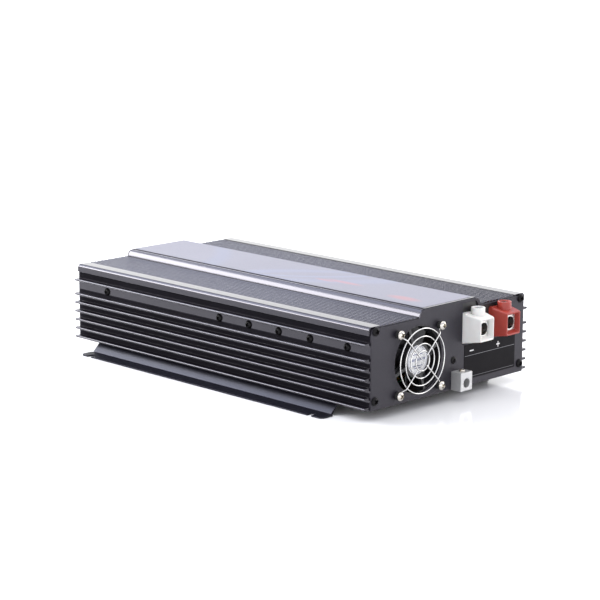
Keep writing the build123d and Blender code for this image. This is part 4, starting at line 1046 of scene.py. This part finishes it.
bm = bmesh.new()
slab(bm, [(3.2, 11.4), (19.6, 11.4), (20.2, 12.0), (20.2, 30.0), (19.6, 30.6), (3.2, 30.6), (2.6, 30.0), (2.6, 12.0)], [],
     YF - 13.0, YF, 0.55, 0.1, to_y, steps=2, blind=[(circle(11.6, 19.3, 4.75, 56), 12.2)])
lug = to_mesh(bm, "tmp_lug")
cut = bmesh.new()
lathe(cut, [(0, 19.3), (3.0, 19.3), (3.0, 30.2), (3.5, 30.7), (3.5, 33.0), (0, 33.0)], 40, axis_map((11.6, YF - 6.5, 0), (0, 0, 1)))
piece("ground_lug", boolean(lug, to_mesh(cut, "tmp_cut"), "DIFFERENCE"), sharp=32)

bm = bmesh.new()
lathe(bm, [(0, 24.35), (2.5, 24.35), (2.95, 24.8), (2.95, 31.7), (2.6, 32.15), (1.5, 32.4), (0, 32.4)], 40,
      axis_map((11.6, YF - 6.5, 0), (0, 0, 1)))
cut = bmesh.new()
slab(cut, rrect(11.6, YF - 6.5, 8.0, 1.15, 0.1, 2), [], 30.8, 34.0, 0.0, 0.0, to_z)
piece("ground_lug_screw", boolean(to_mesh(bm, "tmp_lug_screw"), to_mesh(cut, "tmp_slot"), "DIFFERENCE"), sharp=32)

bm = bmesh.new()
slab(bm, rrect(62.5, 36.25, 81.0, 36.3, 0.8, 5), [], YF - 0.25, YF, 0.08, 0.0, to_y)
piece("terminal_label", bm)

# ----------------------------------------------------------------- outlet end
refine("rocker_frame", 0.3)
refine("rocker", 0.35)
refine("receptacle", 0.35)
refine("receptacle_bezel", 0.3)
refine("test_button", 0.25)
refine("reset_button", 0.25)
refine("remote_jack", 0.25)
refine("fan_frame", 0.25)

# ------------------------------------------------------------- light and camera
floor_mat = bpy.data.materials.new("studio_floor")
floor_mat.use_nodes = True
nt = floor_mat.node_tree
shader = nt.nodes["Principled BSDF"]
coords = node(nt, "ShaderNodeTexCoord").outputs["Object"]
link(nt, blend(nt, remap(nt, noise(nt, coords, 1.5, 2.0), 0.0, 1.0), (0.77, 0.77, 0.775), (0.79, 0.79, 0.795)), shader.inputs["Base Color"])
link(nt, remap(nt, noise(nt, coords, 6.0, 2.0), 0.10, 0.16), shader.inputs["Roughness"])
bpy.ops.mesh.primitive_plane_add(size=14.0, location=(0, 0, 0))
floor = bpy.context.object
floor.name = "studio_floor"
floor.data.materials.append(floor_mat)

world = bpy.data.worlds.new("studio")
bpy.context.scene.world = world
world.use_nodes = True
nt = world.node_tree
bg = nt.nodes["Background"]
direction = node(nt, "ShaderNodeTexCoord").outputs["Generated"]
xyz = node(nt, "ShaderNodeSeparateXYZ")
link(nt, direction, xyz.inputs[0])
ramp = node(nt, "ShaderNodeValToRGB")
for i, (at, colour) in enumerate(((0.0, (0.48, 0.48, 0.48)), (0.23, (0.48, 0.48, 0.48)), (0.36, (0.24, 0.245, 0.28)),
                              (0.72, (0.22, 0.23, 0.27)), (0.84, (0.46, 0.46, 0.46)), (1.0, (0.46, 0.46, 0.46)))):
    e = ramp.color_ramp.elements[i] if i < 2 else ramp.color_ramp.elements.new(at)
    e.position, e.color = at, (*colour, 1.0)
link(nt, xyz.outputs["Z"], ramp.inputs["Fac"])
link(nt, ramp.outputs["Color"], bg.inputs["Color"])
bg.inputs["Strength"].default_value = 5.0


def softbox(name, direction, distance, size_x, size_y, radiance, aim=(0, 0, 0.05)):
    light = bpy.data.lights.new(name, "AREA")
    light.shape = "RECTANGLE"
    light.size, light.size_y = size_x, size_y
    light.energy = radiance * math.pi * size_x * size_y
    ob = bpy.data.objects.new(name, light)
    bpy.context.scene.collection.objects.link(ob)
    d = Vector(direction).normalized()
    ob.location = Vector(aim) + d * distance
    ob.rotation_euler = d.to_track_quat("Z", "Y").to_euler()
    return ob


softbox("top_softbox", (-0.22, 0.69, 0.69), 2.4, 1.6, 0.72, 5.0).data.color = (0.78, 0.83, 1.0)
softbox("side_softbox", (-0.56, 0.69, 0.45), 2.4, 1.5, 0.68, 19.0)
softbox("key_softbox", (0.75, -0.55, 0.35), 2.2, 0.8, 0.8, 6.0).data.color = (1.0, 0.97, 0.92)

cam_data = bpy.data.cameras.new("camera")
cam = bpy.data.objects.new("camera", cam_data)
bpy.context.scene.collection.objects.link(cam)
az, el, roll = math.radians(-45.30), math.radians(12.18), math.radians(0.266)
back = Vector((math.sin(az) * math.cos(el), -math.cos(az) * math.cos(el), math.sin(el)))
right = (-back).cross(Vector((0, 0, 1))).normalized()
up = right.cross(-back)
r2 = right * math.cos(roll) + up * math.sin(roll)
u2 = up * math.cos(roll) - right * math.sin(roll)
cam.matrix_world = Matrix(((r2.x, u2.x, back.x, -1.5209), (r2.y, u2.y, back.y, -1.5078), (r2.z, u2.z, back.z, 0.5335), (0, 0, 0, 1)))
cam_data.sensor_width = 36.0
cam_data.lens = 36.0 * 2041.5 / 600.0
cam_data.clip_start, cam_data.clip_end = 0.05, 60.0
bpy.context.scene.camera = cam
bpy.context.scene.view_settings.view_transform = "Standard"
